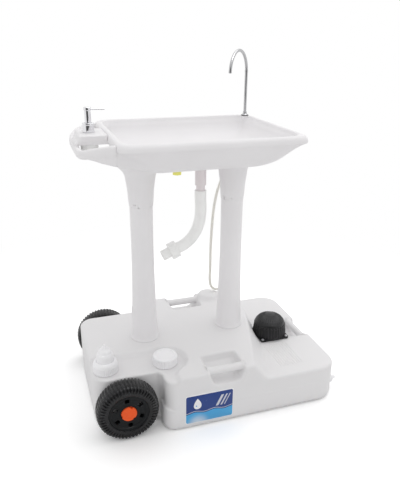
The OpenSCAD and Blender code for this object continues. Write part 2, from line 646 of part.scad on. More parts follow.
module soap_head() color("silver") at(soap_at, soap_top + 27) {
    cylinder(r = 8.6, h = 7);
    translate([0, 0, 7]) cylinder(r1 = 8.6, r2 = 7.6, h = 1);
    rotate(-6) translate([0, 0, 2.6]) rotate([0, 90, 0]) cylinder(r = 2, h = 38);
}
// Pump barrel with its spring cup and suction tube, hung on the bottle's neck
module soap_barrel() color("white") at(soap_at, rim_z) rotate_extrude() polygon([
    [1.2, -47], [3, -47], [3, -44], [4.6, -42], [4.6, -12], [7, -12], [7, 4], [11.7, 4], [11.7, 5.5],
    [6, 5.5], [6, -10], [3.4, -10], [3.4, -42], [1.2, -44]]);
module soap_spring() color("silver") at(soap_at) coil(4.9, 1, 5, rim_z - 9.4, rim_z + 17.4);

// ---- spout of the basin ----

faucet_r = 4;
bend_r = 54;
bend_z = 816;
bend_turn = 172;      // the bend stops just short of straight down
module on_faucet(z) at(faucet_at, z) children();
module faucet_seal() color("dimgray") on_faucet(rim_z) ring(10, 5, 1);
module faucet_flange() color("silver") on_faucet(rim_z + 1) difference() {
    rotate_extrude() polygon([[0, 0], [10, 0], [10, 1.5], [7, 4], [6.5, 9], [0, 9]]);
    translate([0, 0, -1]) cylinder(r = faucet_r + running, h = 20);
}
module faucet_nut() color("silver") on_faucet(rim_z - faucet_boss - 6) difference() {
    cylinder(r = 8.5, h = 6, $fn = 6);
    translate([0, 0, -1]) cylinder(r = 5, h = 10);
}
module faucet_tail() color("silver") on_faucet(rim_z - 40) difference() {
    union() {
        cylinder(r = 4, h = 7);
        translate([0, 0, 7]) cylinder(r = 5, h = 34);
    }
    translate([0, 0, 20]) cylinder(r = faucet_r + running, h = 40);
    translate([0, 0, -1]) cylinder(r = 2, h = 40);
}
module faucet_spout() color("silver") on_faucet(0) {
    translate([0, 0, rim_z - 18]) ring(faucet_r, faucet_r - 1, bend_z - rim_z + 17.5);
    translate([0, 0, bend_z - 3.5]) ring(faucet_r + 0.4, faucet_r - 0.5, 6);
    rotate(-135) translate([bend_r, 0, bend_z]) rotate([90, 0, 0]) rotate(180 - bend_turn)
        rotate_extrude(angle = bend_turn) translate([bend_r, 0]) difference() {
            circle(r = faucet_r, $fn = 32);
            circle(r = faucet_r - 1, $fn = 32);
        }
}
module faucet_nozzle() color("dimgray") on_faucet(0) rotate(-135) translate([bend_r, 0, bend_z])
    rotate([0, bend_turn - 180, 0]) translate([bend_r, 0, -7]) ring(faucet_r, 2.5, 7);

// ---- drain ----

floor_z = rim_z - 68.5;
module drain_strainer() color("silver") at(drain_at, floor_z) difference() {
    union() {
        cylinder(r = 24, h = 1.5);
        translate([0, 0, -24]) cylinder(r = 15.6, h = 25);
    }
    translate([0, 0, -25]) cylinder(r = 12.5, h = 24);
    for (k = [0:7]) rotate(45 * k) translate([8.5, 0, -5]) cylinder(r = 2.4, h = 10);
    translate([0, 0, -5]) cylinder(r = 2.4, h = 10);
}
under_floor = rim_z - 71.5;
module drain_washer() color("dimgray") at(drain_at, under_floor - 2) ring(21, 15.6, 2);
module drain_nut() color("gainsboro") at(drain_at, under_floor - 9) ring(23, 15.6, 7);
tail_z = 557;
module drain_tailpiece() color("mistyrose") at(drain_at) difference() {
    union() {
        translate([0, 0, tail_z]) cylinder(r = 14, h = floor_z - 24 - tail_z);
        translate([0, 0, 525]) cylinder(r = 11, h = tail_z - 525);
    }
    translate([0, 0, 520]) cylinder(r = 8.5, h = 200);
    translate([0, 0, 562]) cylinder(r = 11.5, h = 200);
}

// Hand-placed route of the waste hose, from the tailpiece's neck down to its end nut
waste_route = [[0, 9, 543], [0, 9, 530], [0.5, 9, 515], [1, 9, 500], [0.8, 9, 484], [-1, 9, 467],
    [-5, 9, 451], [-11, 9, 436], [-20, 9, 422], [-31.5, 9, 410], [-46, 9, 400], [-62, 9, 393.2]];
hose_r = 15;
module drain_hose() color("white") difference() {
    sweep(waste_route, 2 * hose_r, 2 * hose_r, 24, [0, 1, 0]);
    at(drain_at, 520) cylinder(r = 11, h = 40);
}
end_tilt = 23;        // fall of the hose's end piece below level
module on_hose_end(d) translate(waste_route[11]) rotate([0, -90 - end_tilt, 0])
    translate([0, 0, d]) children();
module hose_end_nut() color("white") on_hose_end(0) ribbed(22.5, 1.4, 10, 21);
module hose_end_tail() color("white") on_hose_end(21) difference() {
    cylinder(r = 13.5, h = 22);
    translate([0, 0, 2]) cylinder(r = 10, h = 40);
}

// Hand-placed route of the water hose, from the spout's tail to the elbow on the tank
water_route = [[179, 166, 674], [179, 166, 660], [177, 167, 640], [171, 170, 615], [160, 174, 590],
    [146, 179, 565], [133, 183, 542], [122, 185, 516], [112, 186, 488], [105, 186, 458],
    [100, 186, 425], [97, 186, 390], [95, 186, 355], [93.5, 186, 320], [93, 186, 285],
    [92.5, 185, 255], [92, 184, 232], [91, 183, 212], [91.5, 181, 196], [94.5, 180, 184],
    [100.5, 179, 176], [108, 178, 172], [116, 178, 171], [121, 178, 171]];
module supply_hose() color("ivory") difference() {
    sweep(water_route, 8, 8, 8, [0, 1, 0]);
    on_faucet(rim_z - 40) cylinder(r = 4.05, h = 20);
    translate([elbow_at[0] - 30, elbow_at[1], elbow_z]) rotate([0, 90, 0]) cylinder(r = 4.05, h = 40);
}

tank_body();
front_handle_bar();
back_handle_bar();
end_handle_bar();
tank_label();
axle();
axle_push_nuts();
wheel_washers();
front_tyre();
front_hub();
front_hub_cap();
back_tyre();
back_hub();
back_hub_cap();
fill_cap();
fill_cap_gasket();
spout_ring();
spout_nozzle();
spout_gasket();
spout_tip_cap();
drain_plug();
drain_plug_gasket();
pump_gasket();
pump_base();
pump_screws();
pump_valve_box();
pump_valve_balls();
pump_suction_tube();
pump_strainer();
pump_delivery_tube();
pump_bellows();
pump_tread();
pump_spring();
hose_elbow();
left_column();
right_column();
basin_bowl();
basin_base();
towel_rail();
soap_collar();
soap_bottle();
soap_barrel();
soap_spring();
soap_stem();
soap_head();
faucet_flange();
faucet_seal();
faucet_nut();
faucet_tail();
faucet_spout();
faucet_nozzle();
drain_strainer();
drain_washer();
drain_nut();
drain_tailpiece();
drain_hose();
hose_end_nut();
hose_end_tail();
supply_hose();
yellow_plug();
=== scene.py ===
"""Looks of a wheeled camp wash stand: a moulded water tank on two wheels with a foot pump, two columns,
and a basin with a towel rail, a soap pump and a swivelling spout. Lengths are millimetres where shapes are
made, and metres in the materials, the studio and the settings. X runs along the tank away from the wheels,
Y to the back.
"""
import math

import bpy
import numpy as np
from mathutils import Matrix, Vector


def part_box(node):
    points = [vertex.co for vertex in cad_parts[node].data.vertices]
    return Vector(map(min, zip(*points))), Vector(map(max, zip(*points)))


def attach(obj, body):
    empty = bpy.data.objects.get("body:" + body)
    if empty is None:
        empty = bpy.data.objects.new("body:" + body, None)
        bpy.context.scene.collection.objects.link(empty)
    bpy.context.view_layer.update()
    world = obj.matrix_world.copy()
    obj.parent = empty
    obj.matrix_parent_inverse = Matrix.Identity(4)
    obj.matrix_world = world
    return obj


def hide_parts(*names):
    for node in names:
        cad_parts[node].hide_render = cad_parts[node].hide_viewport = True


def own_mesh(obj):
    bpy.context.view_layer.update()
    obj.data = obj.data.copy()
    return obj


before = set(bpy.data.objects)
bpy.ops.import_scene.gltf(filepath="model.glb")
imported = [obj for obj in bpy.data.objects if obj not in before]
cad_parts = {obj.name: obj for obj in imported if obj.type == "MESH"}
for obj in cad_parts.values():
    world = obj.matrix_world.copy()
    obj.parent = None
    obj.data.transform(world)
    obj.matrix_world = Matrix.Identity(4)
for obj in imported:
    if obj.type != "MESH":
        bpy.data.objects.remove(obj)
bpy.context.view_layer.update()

bl_info = {
    "name": "Camp wash stand",
    "version": (1, 0, 0),
    "blender": (4, 5, 0),
    "location": "View3D > Sidebar > Wash stand",
    "description": "Builds the surfaces, finishes and studio of a wheeled camp wash stand",
    "category": "Object",
}

MM = 0.001


def span(node):
    """Lowest and highest corner of a construction node."""
    low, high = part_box(node)
    return np.array(low) / MM, np.array(high) / MM


def middle(node):
    """Centre of a construction node."""
    low, high = span(node)
    return (low + high) / 2


# ---- sizes ----

TANK_LOW, TANK_HIGH = span("tank_body")
PLUG_FACE = span("drain_plug_gasket")[0][0]
TANK_LEFT, TANK_RIGHT = TANK_LOW[0], PLUG_FACE - 1
HALF_W = TANK_HIGH[1]
NECK_HALF_W = 150.0         # half width between the wheels
WELL_X = -155.0             # side of the tank behind each wheel
DECK, STEP, SHELF = 151.0, 104.0, 140.0   # upper deck, lower deck and sunken shelf
THREAD_PITCH = 4.0
GROOVE_X, GROOVE_PITCH = 164.5, 7.0       # middle of the first tread groove, and their distance
GROOVED = (161, 231.5, -172, -66)         # x and y between which the lower deck has them
TYRE_LOW, TYRE_HIGH = span("front_tyre")
WHEEL = middle("front_tyre")
WHEEL_R = (TYRE_HIGH[2] - TYRE_LOW[2]) / 2
WHEEL_W = TYRE_HIGH[1] - TYRE_LOW[1]
WHEEL_IN = -TYRE_HIGH[1]    # distance of a wheel's inner face from the middle plane
TYRE_SEAT = 49.0            # radius of the tyre's inner side
LUG_POINTS = 12             # points of the tyre's grid round one lug
SIDE_RELIEF = 3.4           # depth of the gaps between the lugs in the tyre's side
FILL, SPOUT, PUMP = middle("fill_cap"), middle("spout_ring"), middle("pump_base")
PLATE_TOP = span("pump_tread")[0][2] - 39
PUMP_RIBS, PUMP_SHARP = 32, 1.3
PUMP_SEAT, PUMP_ROOM = 42.8, 47.8         # half side and radius of the room cut for the foot pump
HUMP = np.array([84.0, 177.0])            # raised seat of the water hose's elbow
PLUG = middle("drain_plug")
LEFT_COLUMN, RIGHT_COLUMN = middle("left_column"), middle("right_column")
SOCKET_Z = 515.0            # height at which a column ends in the basin's socket
BORE_TOP = 586.0            # upper end of the bore in that socket
RIM_LOW, RIM_HIGH = span("basin_bowl")
RIM_Z = RIM_HIGH[2]
DRAIN = middle("drain_strainer")
FAUCET = middle("faucet_flange")
SOAP = middle("soap_collar")
BEND_R, BEND_Z, BEND_TURN = 54.0, 816.0, 172.0     # the spout's bend: radius, centre's height, degrees
HANDLE_X, HANDLE_Y = middle("front_handle_bar")[0], middle("end_handle_bar")[1]
SIDE_REACH, END_REACH = 84.0, 62.0        # how far a hand hold goes in

# Routes of the two hoses: the same points as the construction's
WASTE_ROUTE = np.array([
    (0, 9, 543), (0, 9, 530), (0.5, 9, 515), (1, 9, 500), (0.8, 9, 484), (-1, 9, 467),
    (-5, 9, 451), (-11, 9, 436), (-20, 9, 422), (-31.5, 9, 410), (-46, 9, 400), (-62, 9, 393.2)])
WASTE_D = 29.5
WATER_ROUTE = np.array([
    (179, 166, 674), (179, 166, 660), (177, 167, 640), (171, 170, 615), (160, 174, 590),
    (146, 179, 565), (133, 183, 542), (122, 185, 516), (112, 186, 488), (105, 186, 458),
    (100, 186, 425), (97, 186, 390), (95, 186, 355), (93.5, 186, 320), (93, 186, 285),
    (92.5, 185, 255), (92, 184, 232), (91, 183, 212), (91.5, 181, 196), (94.5, 180, 184),
    (100.5, 179, 176), (108, 178, 172), (116, 178, 171), (121, 178, 171)])
WATER_D = 8.0

# Camera fitted to the photograph: place in metres, angles in degrees, focal length in picture heights
CAMERA_AT = (-0.4187, -1.2407, 0.9156)
CAMERA_YAW, CAMERA_PITCH, CAMERA_ROLL = -18.526, 21.422, 0.578
FOCAL = 542.65 / 489
SHIFT_Y = -0.867 / 489
SENSOR = 36.0

# The lamp: place, the point it is turned to, width in metres and power in watts
LAMP_AT, LAMP_AIM, LAMP_WIDE, LAMP_WATTS = (0.9, 0.5, 2.6), (0.0, 0.0, 0.35), 2.0, 10.0
FLOOR_R, FLOOR_DEPTH = 12.0, 0.0004       # the floor's radius and depth under the wheels, in metres


# ---- meshes ----

def weld(points, quads, tris):
    """Points closer than a thousandth of a millimetre become one, and quads that lose a corner become
    triangles."""
    _, first, back = np.unique(np.round(points * 1000).astype(np.int64), axis=0,
                               return_index=True, return_inverse=True)
    back = back.reshape(-1)
    points, quads, tris = points[first], back[quads], back[tris]
    same = quads == np.roll(quads, -1, axis=1)
    lost = same.sum(axis=1)
    extra = quads[lost == 1][~same[lost == 1]].reshape(-1, 3)
    tris = np.concatenate([tris, extra])
    whole = (tris[:, 0] != tris[:, 1]) & (tris[:, 1] != tris[:, 2]) & (tris[:, 2] != tris[:, 0])
    return points, quads[lost == 0], tris[whole]


def put_mesh(name, points, quads, tris, crease):
    """Mesh object of points and faces, turned outwards by the sign of the volume that it encloses.
    An edge sharper than crease degrees stays sharp; the rest is shaded smooth."""
    quads = np.asarray(quads, dtype=np.int64).reshape(-1, 4)
    tris = np.asarray(tris, dtype=np.int64).reshape(-1, 3)
    points, quads, tris = weld(np.asarray(points, dtype=float), quads, tris)
    every = np.concatenate([quads[:, [0, 1, 2]], quads[:, [0, 2, 3]], tris])
    a, b, c = (points[every[:, k]] for k in range(3))
    if np.einsum("ij,ij->", a, np.cross(b, c)) < 0:
        quads, tris = quads[:, ::-1], tris[:, ::-1]
    corners = np.concatenate([quads.ravel(), tris.ravel()]).astype(np.int32)
    starts = np.concatenate([np.arange(len(quads)) * 4, len(quads) * 4 + np.arange(len(tris)) * 3])
    mesh = bpy.data.meshes.new(name)
    mesh.vertices.add(len(points))
    mesh.vertices.foreach_set("co", (points * MM).astype(np.float32).ravel())
    mesh.loops.add(len(corners))
    mesh.loops.foreach_set("vertex_index", corners)
    mesh.polygons.add(len(starts))
    mesh.polygons.foreach_set("loop_start", starts.astype(np.int32))
    mesh.update(calc_edges=True)
    mesh.validate()
    mesh.shade_smooth()
    if crease:
        mesh.set_sharp_from_angle(angle=math.radians(crease))
    piece = bpy.data.objects.new(name, mesh)
    bpy.context.scene.collection.objects.link(piece)
    return piece


def join(*parts):
    """Several (points, quads, tris) shells as one."""
    points, quads, tris, n = [], [], [], 0
    for p, q, t in parts:
        points.append(p)
        quads.append(np.asarray(q).reshape(-1, 4) + n)
        tris.append(np.asarray(t, dtype=int).reshape(-1, 3) + n)
        n += len(p)
    return np.concatenate(points), np.concatenate(quads), np.concatenate(tris)


def grid(rows, loop=False):
    """Faces over rows x columns of points whose columns close on themselves. With loop the rows close too,
    and without it each end is a fan round the middle of its row."""
    m, n = rows.shape[:2]
    i = np.arange(m if loop else m - 1)[:, None]
    j = np.arange(n)[None, :]
    i2, j2 = (i + 1) % m, (j + 1) % n
    quads = np.stack([i * n + j, i * n + j2, i2 * n + j2, i2 * n + j], axis=-1).reshape(-1, 4)
    points = rows.reshape(-1, 3)
    if loop:
        return points, quads, np.zeros((0, 3), dtype=int)
    j = np.arange(n)
    j2 = (j + 1) % n
    first = np.stack([np.full(n, m * n), j2, j], axis=-1)
    last = np.stack([np.full(n, m * n + 1), (m - 1) * n + j, (m - 1) * n + j2], axis=-1)
    points = np.concatenate([points, rows[0].mean(axis=0)[None], rows[-1].mean(axis=0)[None]])
    return points, quads, np.concatenate([first, last])


def fillets(corners, steps=4, closed=True):
    """Outline through corners (a, b, radius). Each corner is a quadratic curve that starts and ends a
    radius away from it, or at 0.45 of a shorter side."""
    corners = np.array([(*c, 0)[:3] for c in corners], dtype=float)
    p, r = corners[:, :2], corners[:, 2]
    out = []
    t = np.linspace(0, 1, steps + 1)[:, None]
    for k in range(len(p)):
        if r[k] == 0 or (not closed and k in (0, len(p) - 1)):
            out.append(p[k][None])
            continue
        a, b = p[k - 1] - p[k], p[(k + 1) % len(p)] - p[k]
        a *= min(r[k] / np.linalg.norm(a), 0.45)
        b *= min(r[k] / np.linalg.norm(b), 0.45)
        out.append(p[k] + a * (1 - t) ** 2 + b * t ** 2)
    return np.concatenate(out)


def turned(outline, around=96, carve=None):
    """Closed outline of (radius, height) points carried round the Z axis. carve(angle, radius, height)
    gives a new radius for each point, for ribs and flutes."""
    angle = np.arange(around) * 2 * np.pi / around
    r = outline[:, :1] + 0 * angle
    z = outline[:, 1:] + 0 * angle
    if carve:
        r = carve(angle, r, z)
    return grid(np.stack([r * np.cos(angle), r * np.sin(angle), z], axis=-1), loop=True)


def set_at(shell, at=(0, 0, 0), turn=None):
    """The shell turned by a 3x3 matrix and moved."""
    points, quads, tris = shell
    if turn is not None:
        points = points @ np.asarray(turn, dtype=float).T
    return points + np.asarray(at, dtype=float), quads, tris


def stood(shell, at):
    """A shell made about the Z axis, moved over a point of the plan."""
    return set_at(shell, (at[0], at[1], 0))


def lathed(corners, at, around=96):
    """Outline of corners (radius, height, fillet) turned about an upright axis over a point of the plan."""
    return stood(turned(fillets(corners), around), at)


def turning(degrees, axis):
    """Turn by an angle about X, Y or Z."""
    return np.array(Matrix.Rotation(math.radians(degrees), 3, axis))


def smooth_path(points, steps):
    """Catmull-Rom curve through the points, with that many steps between two of them."""
    p = np.asarray(points, dtype=float)
    ends = np.concatenate([p[:1], p, p[-1:]])
    t = np.linspace(0, 1, steps, endpoint=False)[None, :, None]
    a, b, c, d = (ends[k:k + len(p) - 1, None] for k in range(4))
    curve = 0.5 * (2 * b + (c - a) * t + (2 * a - 5 * b + 4 * c - d) * t ** 2
                   + (3 * b - a - 3 * c + d) * t ** 3)
    return np.concatenate([curve.reshape(-1, p.shape[1]), p[-1:]])


def tube(path, radius, around, up=(0, 1, 0)):
    """Circle carried along a path that never runs along up. radius is a number or one for each point."""
    path = np.asarray(path, dtype=float)
    ahead = np.gradient(path, axis=0)
    ahead /= np.linalg.norm(ahead, axis=1, keepdims=True)
    side = np.cross(up, ahead)
    side /= np.linalg.norm(side, axis=1, keepdims=True)
    over = np.cross(ahead, side)
    angle = np.arange(around) * 2 * np.pi / around
    r = np.broadcast_to(np.asarray(radius, dtype=float).reshape(-1, 1, 1), (len(path), 1, 1))
    ring = np.cos(angle)[None, :, None] * side[:, None] + np.sin(angle)[None, :, None] * over[:, None]
    return grid(path[:, None] + r * ring)


def hollow(path, radius, bore, around=28):
    """Tube with a bore: the outer skin, a lip at each end and the inner skin, closed on itself."""
    outer, inner = tube(path, radius, around)[0][:-2], tube(path, bore, around)[0][:-2]
    n = len(path)
    rows = np.concatenate([outer.reshape(n, around, 3), inner.reshape(n, around, 3)[::-1]])
    return grid(rows, loop=True)


# ---- solids from distances ----

def round_both(a, b, r):
    """What lies in both a and b, its convex edge rounded with radius r."""
    u, v = a + r, b + r
    return np.minimum(np.maximum(u, v), 0) + np.hypot(np.maximum(u, 0), np.maximum(v, 0)) - r


def cut(a, b, r):
    """What lies in a and not in b, its edge rounded with radius r."""
    return round_both(a, -b, r)


def fillet(a, b, r):
    """What lies in a or b, its inner corner filled with radius r."""
    u, v = r - a, r - b
    return np.maximum(np.minimum(a, b), r) - np.hypot(np.maximum(u, 0), np.maximum(v, 0))


def box_plan(x, y, x0, x1, y0, y1, left, right):
    """Distance from a rectangle with one corner radius on its left and one on its right."""
    return round_both(np.abs(x - (x0 + x1) / 2) - (x1 - x0) / 2, np.abs(y - (y0 + y1) / 2) - (y1 - y0) / 2,
                      np.where(x < (x0 + x1) / 2, left, right))


def skin(field, xs, ys, zs, relax=3):
    """Closed surface on which field(x, y, z) is zero, for a field below zero inside.
    Each cell of the grid whose corners differ in sign holds one point, at the mean of the places where
    its edges cross zero, and each such edge is the middle of one quad. The points then move along the
    field's slope until they lie on the surface, and towards the mean of their neighbours in between."""
    grids = (xs, ys, zs)
    shape = tuple(len(g) for g in grids)
    value = np.broadcast_to(field(*np.meshgrid(*grids, indexing="ij", sparse=True)), shape)
    cells, spots = [], []
    for axis in range(3):
        low, high = [slice(None)] * 3, [slice(None)] * 3
        low[axis], high[axis] = slice(0, -1), slice(1, None)
        a, b = value[tuple(low)], value[tuple(high)]
        at = np.nonzero((a < 0) != (b < 0))
        a, b = a[at], b[at]
        spot = np.stack([g[i] for g, i in zip(grids, at)], axis=1).astype(float)
        spot[:, axis] += a / (a - b) * (grids[axis][at[axis] + 1] - grids[axis][at[axis]])
        around = []
        for du, dv in ((0, 0), (1, 0), (1, 1), (0, 1)):
            cell = list(at)
            cell[(axis + 1) % 3] = cell[(axis + 1) % 3] - du
            cell[(axis + 2) % 3] = cell[(axis + 2) % 3] - dv
            around.append(np.ravel_multi_index(cell, shape))
        around = np.stack(around, axis=1)
        around[a > 0] = around[a > 0][:, ::-1]
        cells.append(around)
        spots.append(np.repeat(spot, 4, axis=0))
    _, back = np.unique(np.concatenate(cells).ravel(), return_inverse=True)
    back = back.reshape(-1)
    count = np.bincount(back)
    spots = np.concatenate(spots)
    points = np.stack([np.bincount(back, spots[:, k]) / count for k in range(3)], axis=1)
    quads = back.reshape(-1, 4)
    pairs = np.concatenate([quads[:, [k, (k + 1) % 4]] for k in range(4)])
    near = np.bincount(pairs[:, 0], minlength=len(points))
    for turn in range(relax + 1):
        for _ in range(3):
            points = settle(field, points)
        if turn < relax:
            mean = np.stack([np.bincount(pairs[:, 0], points[pairs[:, 1], k], len(points)) / near
                             for k in range(3)], axis=1)
            points += 0.5 * (mean - points)
    return points, quads, np.zeros((0, 3), dtype=int)


def settle(field, points, reach=1.5, small=0.05):
    """One Newton step of the points towards the surface, along the field's slope."""
    slope = np.stack([field(*(points + d).T) - field(*(points - d).T) for d in np.eye(3) * small],
                     axis=1) / (2 * small)
    move = -field(*points.T)[:, None] * slope / np.maximum((slope ** 2).sum(axis=1), 0.05)[:, None]
    length = np.linalg.norm(move, axis=1, keepdims=True)
    return points + move * np.minimum(1, reach / np.maximum(length, 1e-9))


def spread(low, high, step, fine=()):
    """Grid lines from low to high, a step apart, and closer inside each (start, end, step) of fine."""
    lines = np.linspace(low, high, max(2, round((high - low) / step) + 1))
    for start, end, close in fine:
        lines = lines[(lines < start - close) | (lines > end + close)]
        lines = np.concatenate([lines, np.linspace(start, end, round((end - start) / close) + 1)])
    return np.sort(lines)


def swell(t):
    """Smooth climb from 0 to 1 while t goes from 0 to 1."""
    t = np.clip(t, 0, 1)
    return t * t * (3 - 2 * t)


def lower(a, b, k):
    """The lower of two heights, blended where they are within k of each other."""
    return np.minimum(a, b) - np.maximum(k - np.abs(a - b), 0) ** 2 / (4 * k)


def upper(a, b, k):
    """The higher of two heights, blended where they are within k of each other."""
    return -lower(-a, -b, k)


# ---- tank ----

def deck_edge(y):
    """Edge of the upper deck towards the foot pump: raked at the front, further out at the back along a
    quarter of a sine, and drawn in on a circle of 45 at the tank's back corner."""
    corner = np.clip((y + 45 - HALF_W) / 45, 0, 1)
    return np.where(y < 0, 147 + 0.33 * y, 147 + 14 * np.sin(np.radians(np.clip(y, 0, 90)))) \
        - 45 * (1 - np.sqrt(1 - corner ** 2))


def tank_top(x, y, groove):
    """Height of the tank's top: the upper deck falls to the lower one on a straight ramp, blended at its
    head and foot, and the lower deck has ten straight tread grooves."""
    run = 20 + 12 * np.clip(-y / 60, 0, 1)
    ramp = DECK - (DECK - STEP) * (x - deck_edge(y) + 5) / (run + 5)
    height = upper(STEP, lower(DECK, ramp, 6), 4)
    across = np.abs((x - GROOVE_X + GROOVE_PITCH / 2) % GROOVE_PITCH - GROOVE_PITCH / 2)
    inside = (x > GROOVED[0]) & (x < GROOVED[1]) & (y > GROOVED[2]) & (y < GROOVED[3])
    return height - groove * inside * np.clip((1.7 - across) / 0.8, 0, 1)


def pocket(x, y, z, deck, reach):
    """Distance from a scooped hand hold open towards -Y, whose middle line is x = 0 and whose mouth is
    y = 0: a rectangle in plan whose half width and depth grow with height."""
    level = z - deck
    half = np.interp(level, (-39, -32, -18, -2, 2), (27, 35, 42, 46, 48))
    deep = reach * np.interp(level, (-39, -32, -18, -2, 2), (0.31, 0.62, 0.9, 0.98, 1))
    return round_both(0.8 * round_both(np.abs(x) - half, y - deep, 9), -39 - level, 7)


def tank_field(sizes):
    """Field of the tank: negative inside. See the comments for the forms that are joined and cut."""
    seam, groove, top_edge = sizes.seam / MM, sizes.groove / MM, sizes.top_edge / MM

    def field(x, y, z):
        # the wide block and the narrow one between the wheels, with an inner corner of 6
        plan = fillet(box_plan(x, y, WELL_X, TANK_RIGHT, -HALF_W, HALF_W, 32, 50),
                      box_plan(x, y, TANK_LEFT, -100, -NECK_HALF_W, NECK_HALF_W, 38, 12), 6)
        # the mould seam, which stops beside the label, and the ledge over the front wheel
        beside_label = swell((np.abs(x + 44.5) - 66) / 6) + (y > 0)
        ridge = seam * np.exp(-((z - 60) / 1.6) ** 2) * np.minimum(beside_label, 1)
        ledge = swell((-128 - x) / 22) * swell((-NECK_HALF_W - 2 - y) / 12)
        ledge = 5 * ledge * swell((z - 59 - 5 * ledge) / 2)
        plan = plan + seam - ridge + ledge
        top = tank_top(x, y, groove)
        tilt = tank_top(x + 1, y, 0) - tank_top(x - 1, y, 0)
        body = round_both(plan, (z - top) / np.sqrt(1 + tilt * tilt / 4), top_edge)
        body = round_both(body, -z, 11.5 + 2.5 * swell((x + 175) / 40))
        # raised seat of the water hose
        hump = round_both(np.hypot(x - HUMP[0], y - HUMP[1]) - 32.5, z - 165, 13)
        body = fillet(body, np.maximum(hump, 120 - z), 0.5 + 10 * swell((205 - y) / 16))
        # sunken shelf round the two caps: a circle and a strip, its wall sloping out to the deck
        shelf = fillet(np.hypot(x - FILL[0], y - FILL[1]) - 57,
                       np.maximum(np.maximum(x + 116, y + 62), -400 - x), 3 + 11 * swell((-130 - y) / 20))
        shelf = 0.75 * (shelf + 10 * np.clip((149.5 - z) / 9.5, 0, 1))
        body = cut(body, round_both(shelf, SHELF - z, 2.5), 1.6)
        # hand holds at the front, the back and the end
        for hold in (pocket(x - HANDLE_X, y + HALF_W, z, DECK, SIDE_REACH),
                     pocket(x - HANDLE_X, HALF_W - y, z, DECK, SIDE_REACH),
                     pocket(y - HANDLE_Y, TANK_RIGHT - x, z, STEP, END_REACH)):
            body = cut(body, hold, 4)
        # sockets of the two columns
        for column in (LEFT_COLUMN, RIGHT_COLUMN):
            body = cut(body, np.maximum(np.hypot(x - column[0], y - column[1]) - 28.7, 109 - z), 1.5)
        # room for the foot pump in the ramp's foot
        px, py = x - PUMP[0], y - PUMP[1]
        seat = np.minimum(box_plan(px, py, -PUMP_SEAT, PUMP_SEAT, -PUMP_SEAT, PUMP_SEAT, 6, 6),
                          np.hypot(px, py) - PUMP_ROOM)
        body = cut(body, np.maximum(seat, STEP - z), 5)
        # boss of the drain plug
        boss = round_both(np.hypot(y - PLUG[1], z - PLUG[2]) - 14, np.abs(x - PLUG_FACE + 10) - 10, 1)
        return fillet(body, boss, 2.5)
    return field


def tank_shell(sizes):
    """The tank's skin, with grid lines closer together over the tread grooves and the seam."""
    step = sizes.tank_grid / MM
    xs = spread(TANK_LEFT - 5, PLUG_FACE + 4, step, [(160, 233, 1.0)])
    ys = spread(-HALF_W - 4, HALF_W + 4, step)
    zs = spread(-3, 169, step, [(56, 64, 1.6)])
    zs = zs[(zs < STEP - 2) | (zs > STEP + 1.5)]
    return skin(tank_field(sizes), xs, ys, zs)


def neck(at, radius, bore, top):
    """Screw neck: a tube with a thread of half-sine rings and a rounded lip."""
    rise = np.linspace(SHELF - 2, top - 1.5, 40)
    wave = np.clip(np.sin((rise - SHELF - 3) * 2 * np.pi / THREAD_PITCH), 0, 1)
    wave = wave * (rise > SHELF + 3) * (rise < top - 2)
    side = np.stack([radius + 0.9 * wave, rise], axis=1)
    lip = np.array([(radius - 0.5, top - 0.4), (radius - 1.5, top), (bore + 1, top), (bore, top - 1),
                    (bore, SHELF - 2)])
    return stood(turned(np.concatenate([side, lip])), at)


def bar(length, radius, flare=4.0, around=40):
    """Round bar along X whose ends widen on a curve of the eighth power, as where it grows out of a wall."""
    x = np.linspace(-length / 2, length / 2, 41)
    r = radius + flare * np.abs(2 * x / length) ** 8
    return tube(np.stack([x, 0 * x, 0 * x], axis=1), r, around, up=(0, 0, 1))


def plate(x0, x1, z0, z1, y0, y1, corner, bevel=0.15):
    """Flat plate across Y with round corners and a bevelled outer edge."""
    turn = np.radians(np.arange(0, 360, 6))
    cx = np.where(np.cos(turn) > 0, x1 - corner, x0 + corner)
    cz = np.where(np.sin(turn) > 0, z1 - corner, z0 + corner)
    rows = []
    for inset, y in ((0, y0), (0, y1 + bevel), (bevel, y1)):
        r = corner - inset
        rows.append(np.stack([cx + r * np.cos(turn), y + 0 * turn, cz + r * np.sin(turn)], axis=1))
    return grid(np.stack(rows))


# ---- wheels ----

def tyre_surface(sizes):
    """Tyre about the Z axis, from its inner face z = 0 to its outer one: the section is carried round, and
    its tread rises in oblique lugs. A lug's height is a smooth square wave of the angle, whose phase
    shifts with the distance from the middle, and it fades out on the shoulders."""
    t = np.sin(np.linspace(-np.pi / 2, np.pi / 2, 35))
    r = WHEEL_R - 14 * (1 - np.sqrt(np.maximum(1 - t ** 4, 0)))
    z = WHEEL_W / 2 * (1 + t)
    low = np.array([(TYRE_SEAT, 6), (TYRE_SEAT, 2.5), (50, 1.6), (52.5, 1.0), (56, 0.6)])
    high = low[::-1] * (1, -1) + (0, WHEEL_W)
    outline = np.concatenate([low, np.stack([r, z], axis=1), high])
    lugs = int(sizes.lugs)
    angle = np.arange(lugs * LUG_POINTS) * 2 * np.pi / (lugs * LUG_POINTS)
    radius, height = outline[:, :1] + 0 * angle, outline[:, 1:] + 0 * angle
    across = np.abs(height - WHEEL_W / 2) / (WHEEL_W / 2)
    wave = np.sin(lugs * angle + 2.4 * across)
    lug = 0.5 + 0.5 * np.tanh(2.6 * (wave + 0.2))
    tread = swell((radius - 58) / 3)
    radius = radius - sizes.lug_depth / MM * (1 - lug) * tread
    shoulder = tread * swell((across - 0.75) / 0.2)
    height = height + np.sign(WHEEL_W / 2 - height) * SIDE_RELIEF * (1 - lug) * shoulder
    rows = np.stack([radius * np.cos(angle), radius * np.sin(angle), height], axis=-1)
    return grid(rows, loop=True)


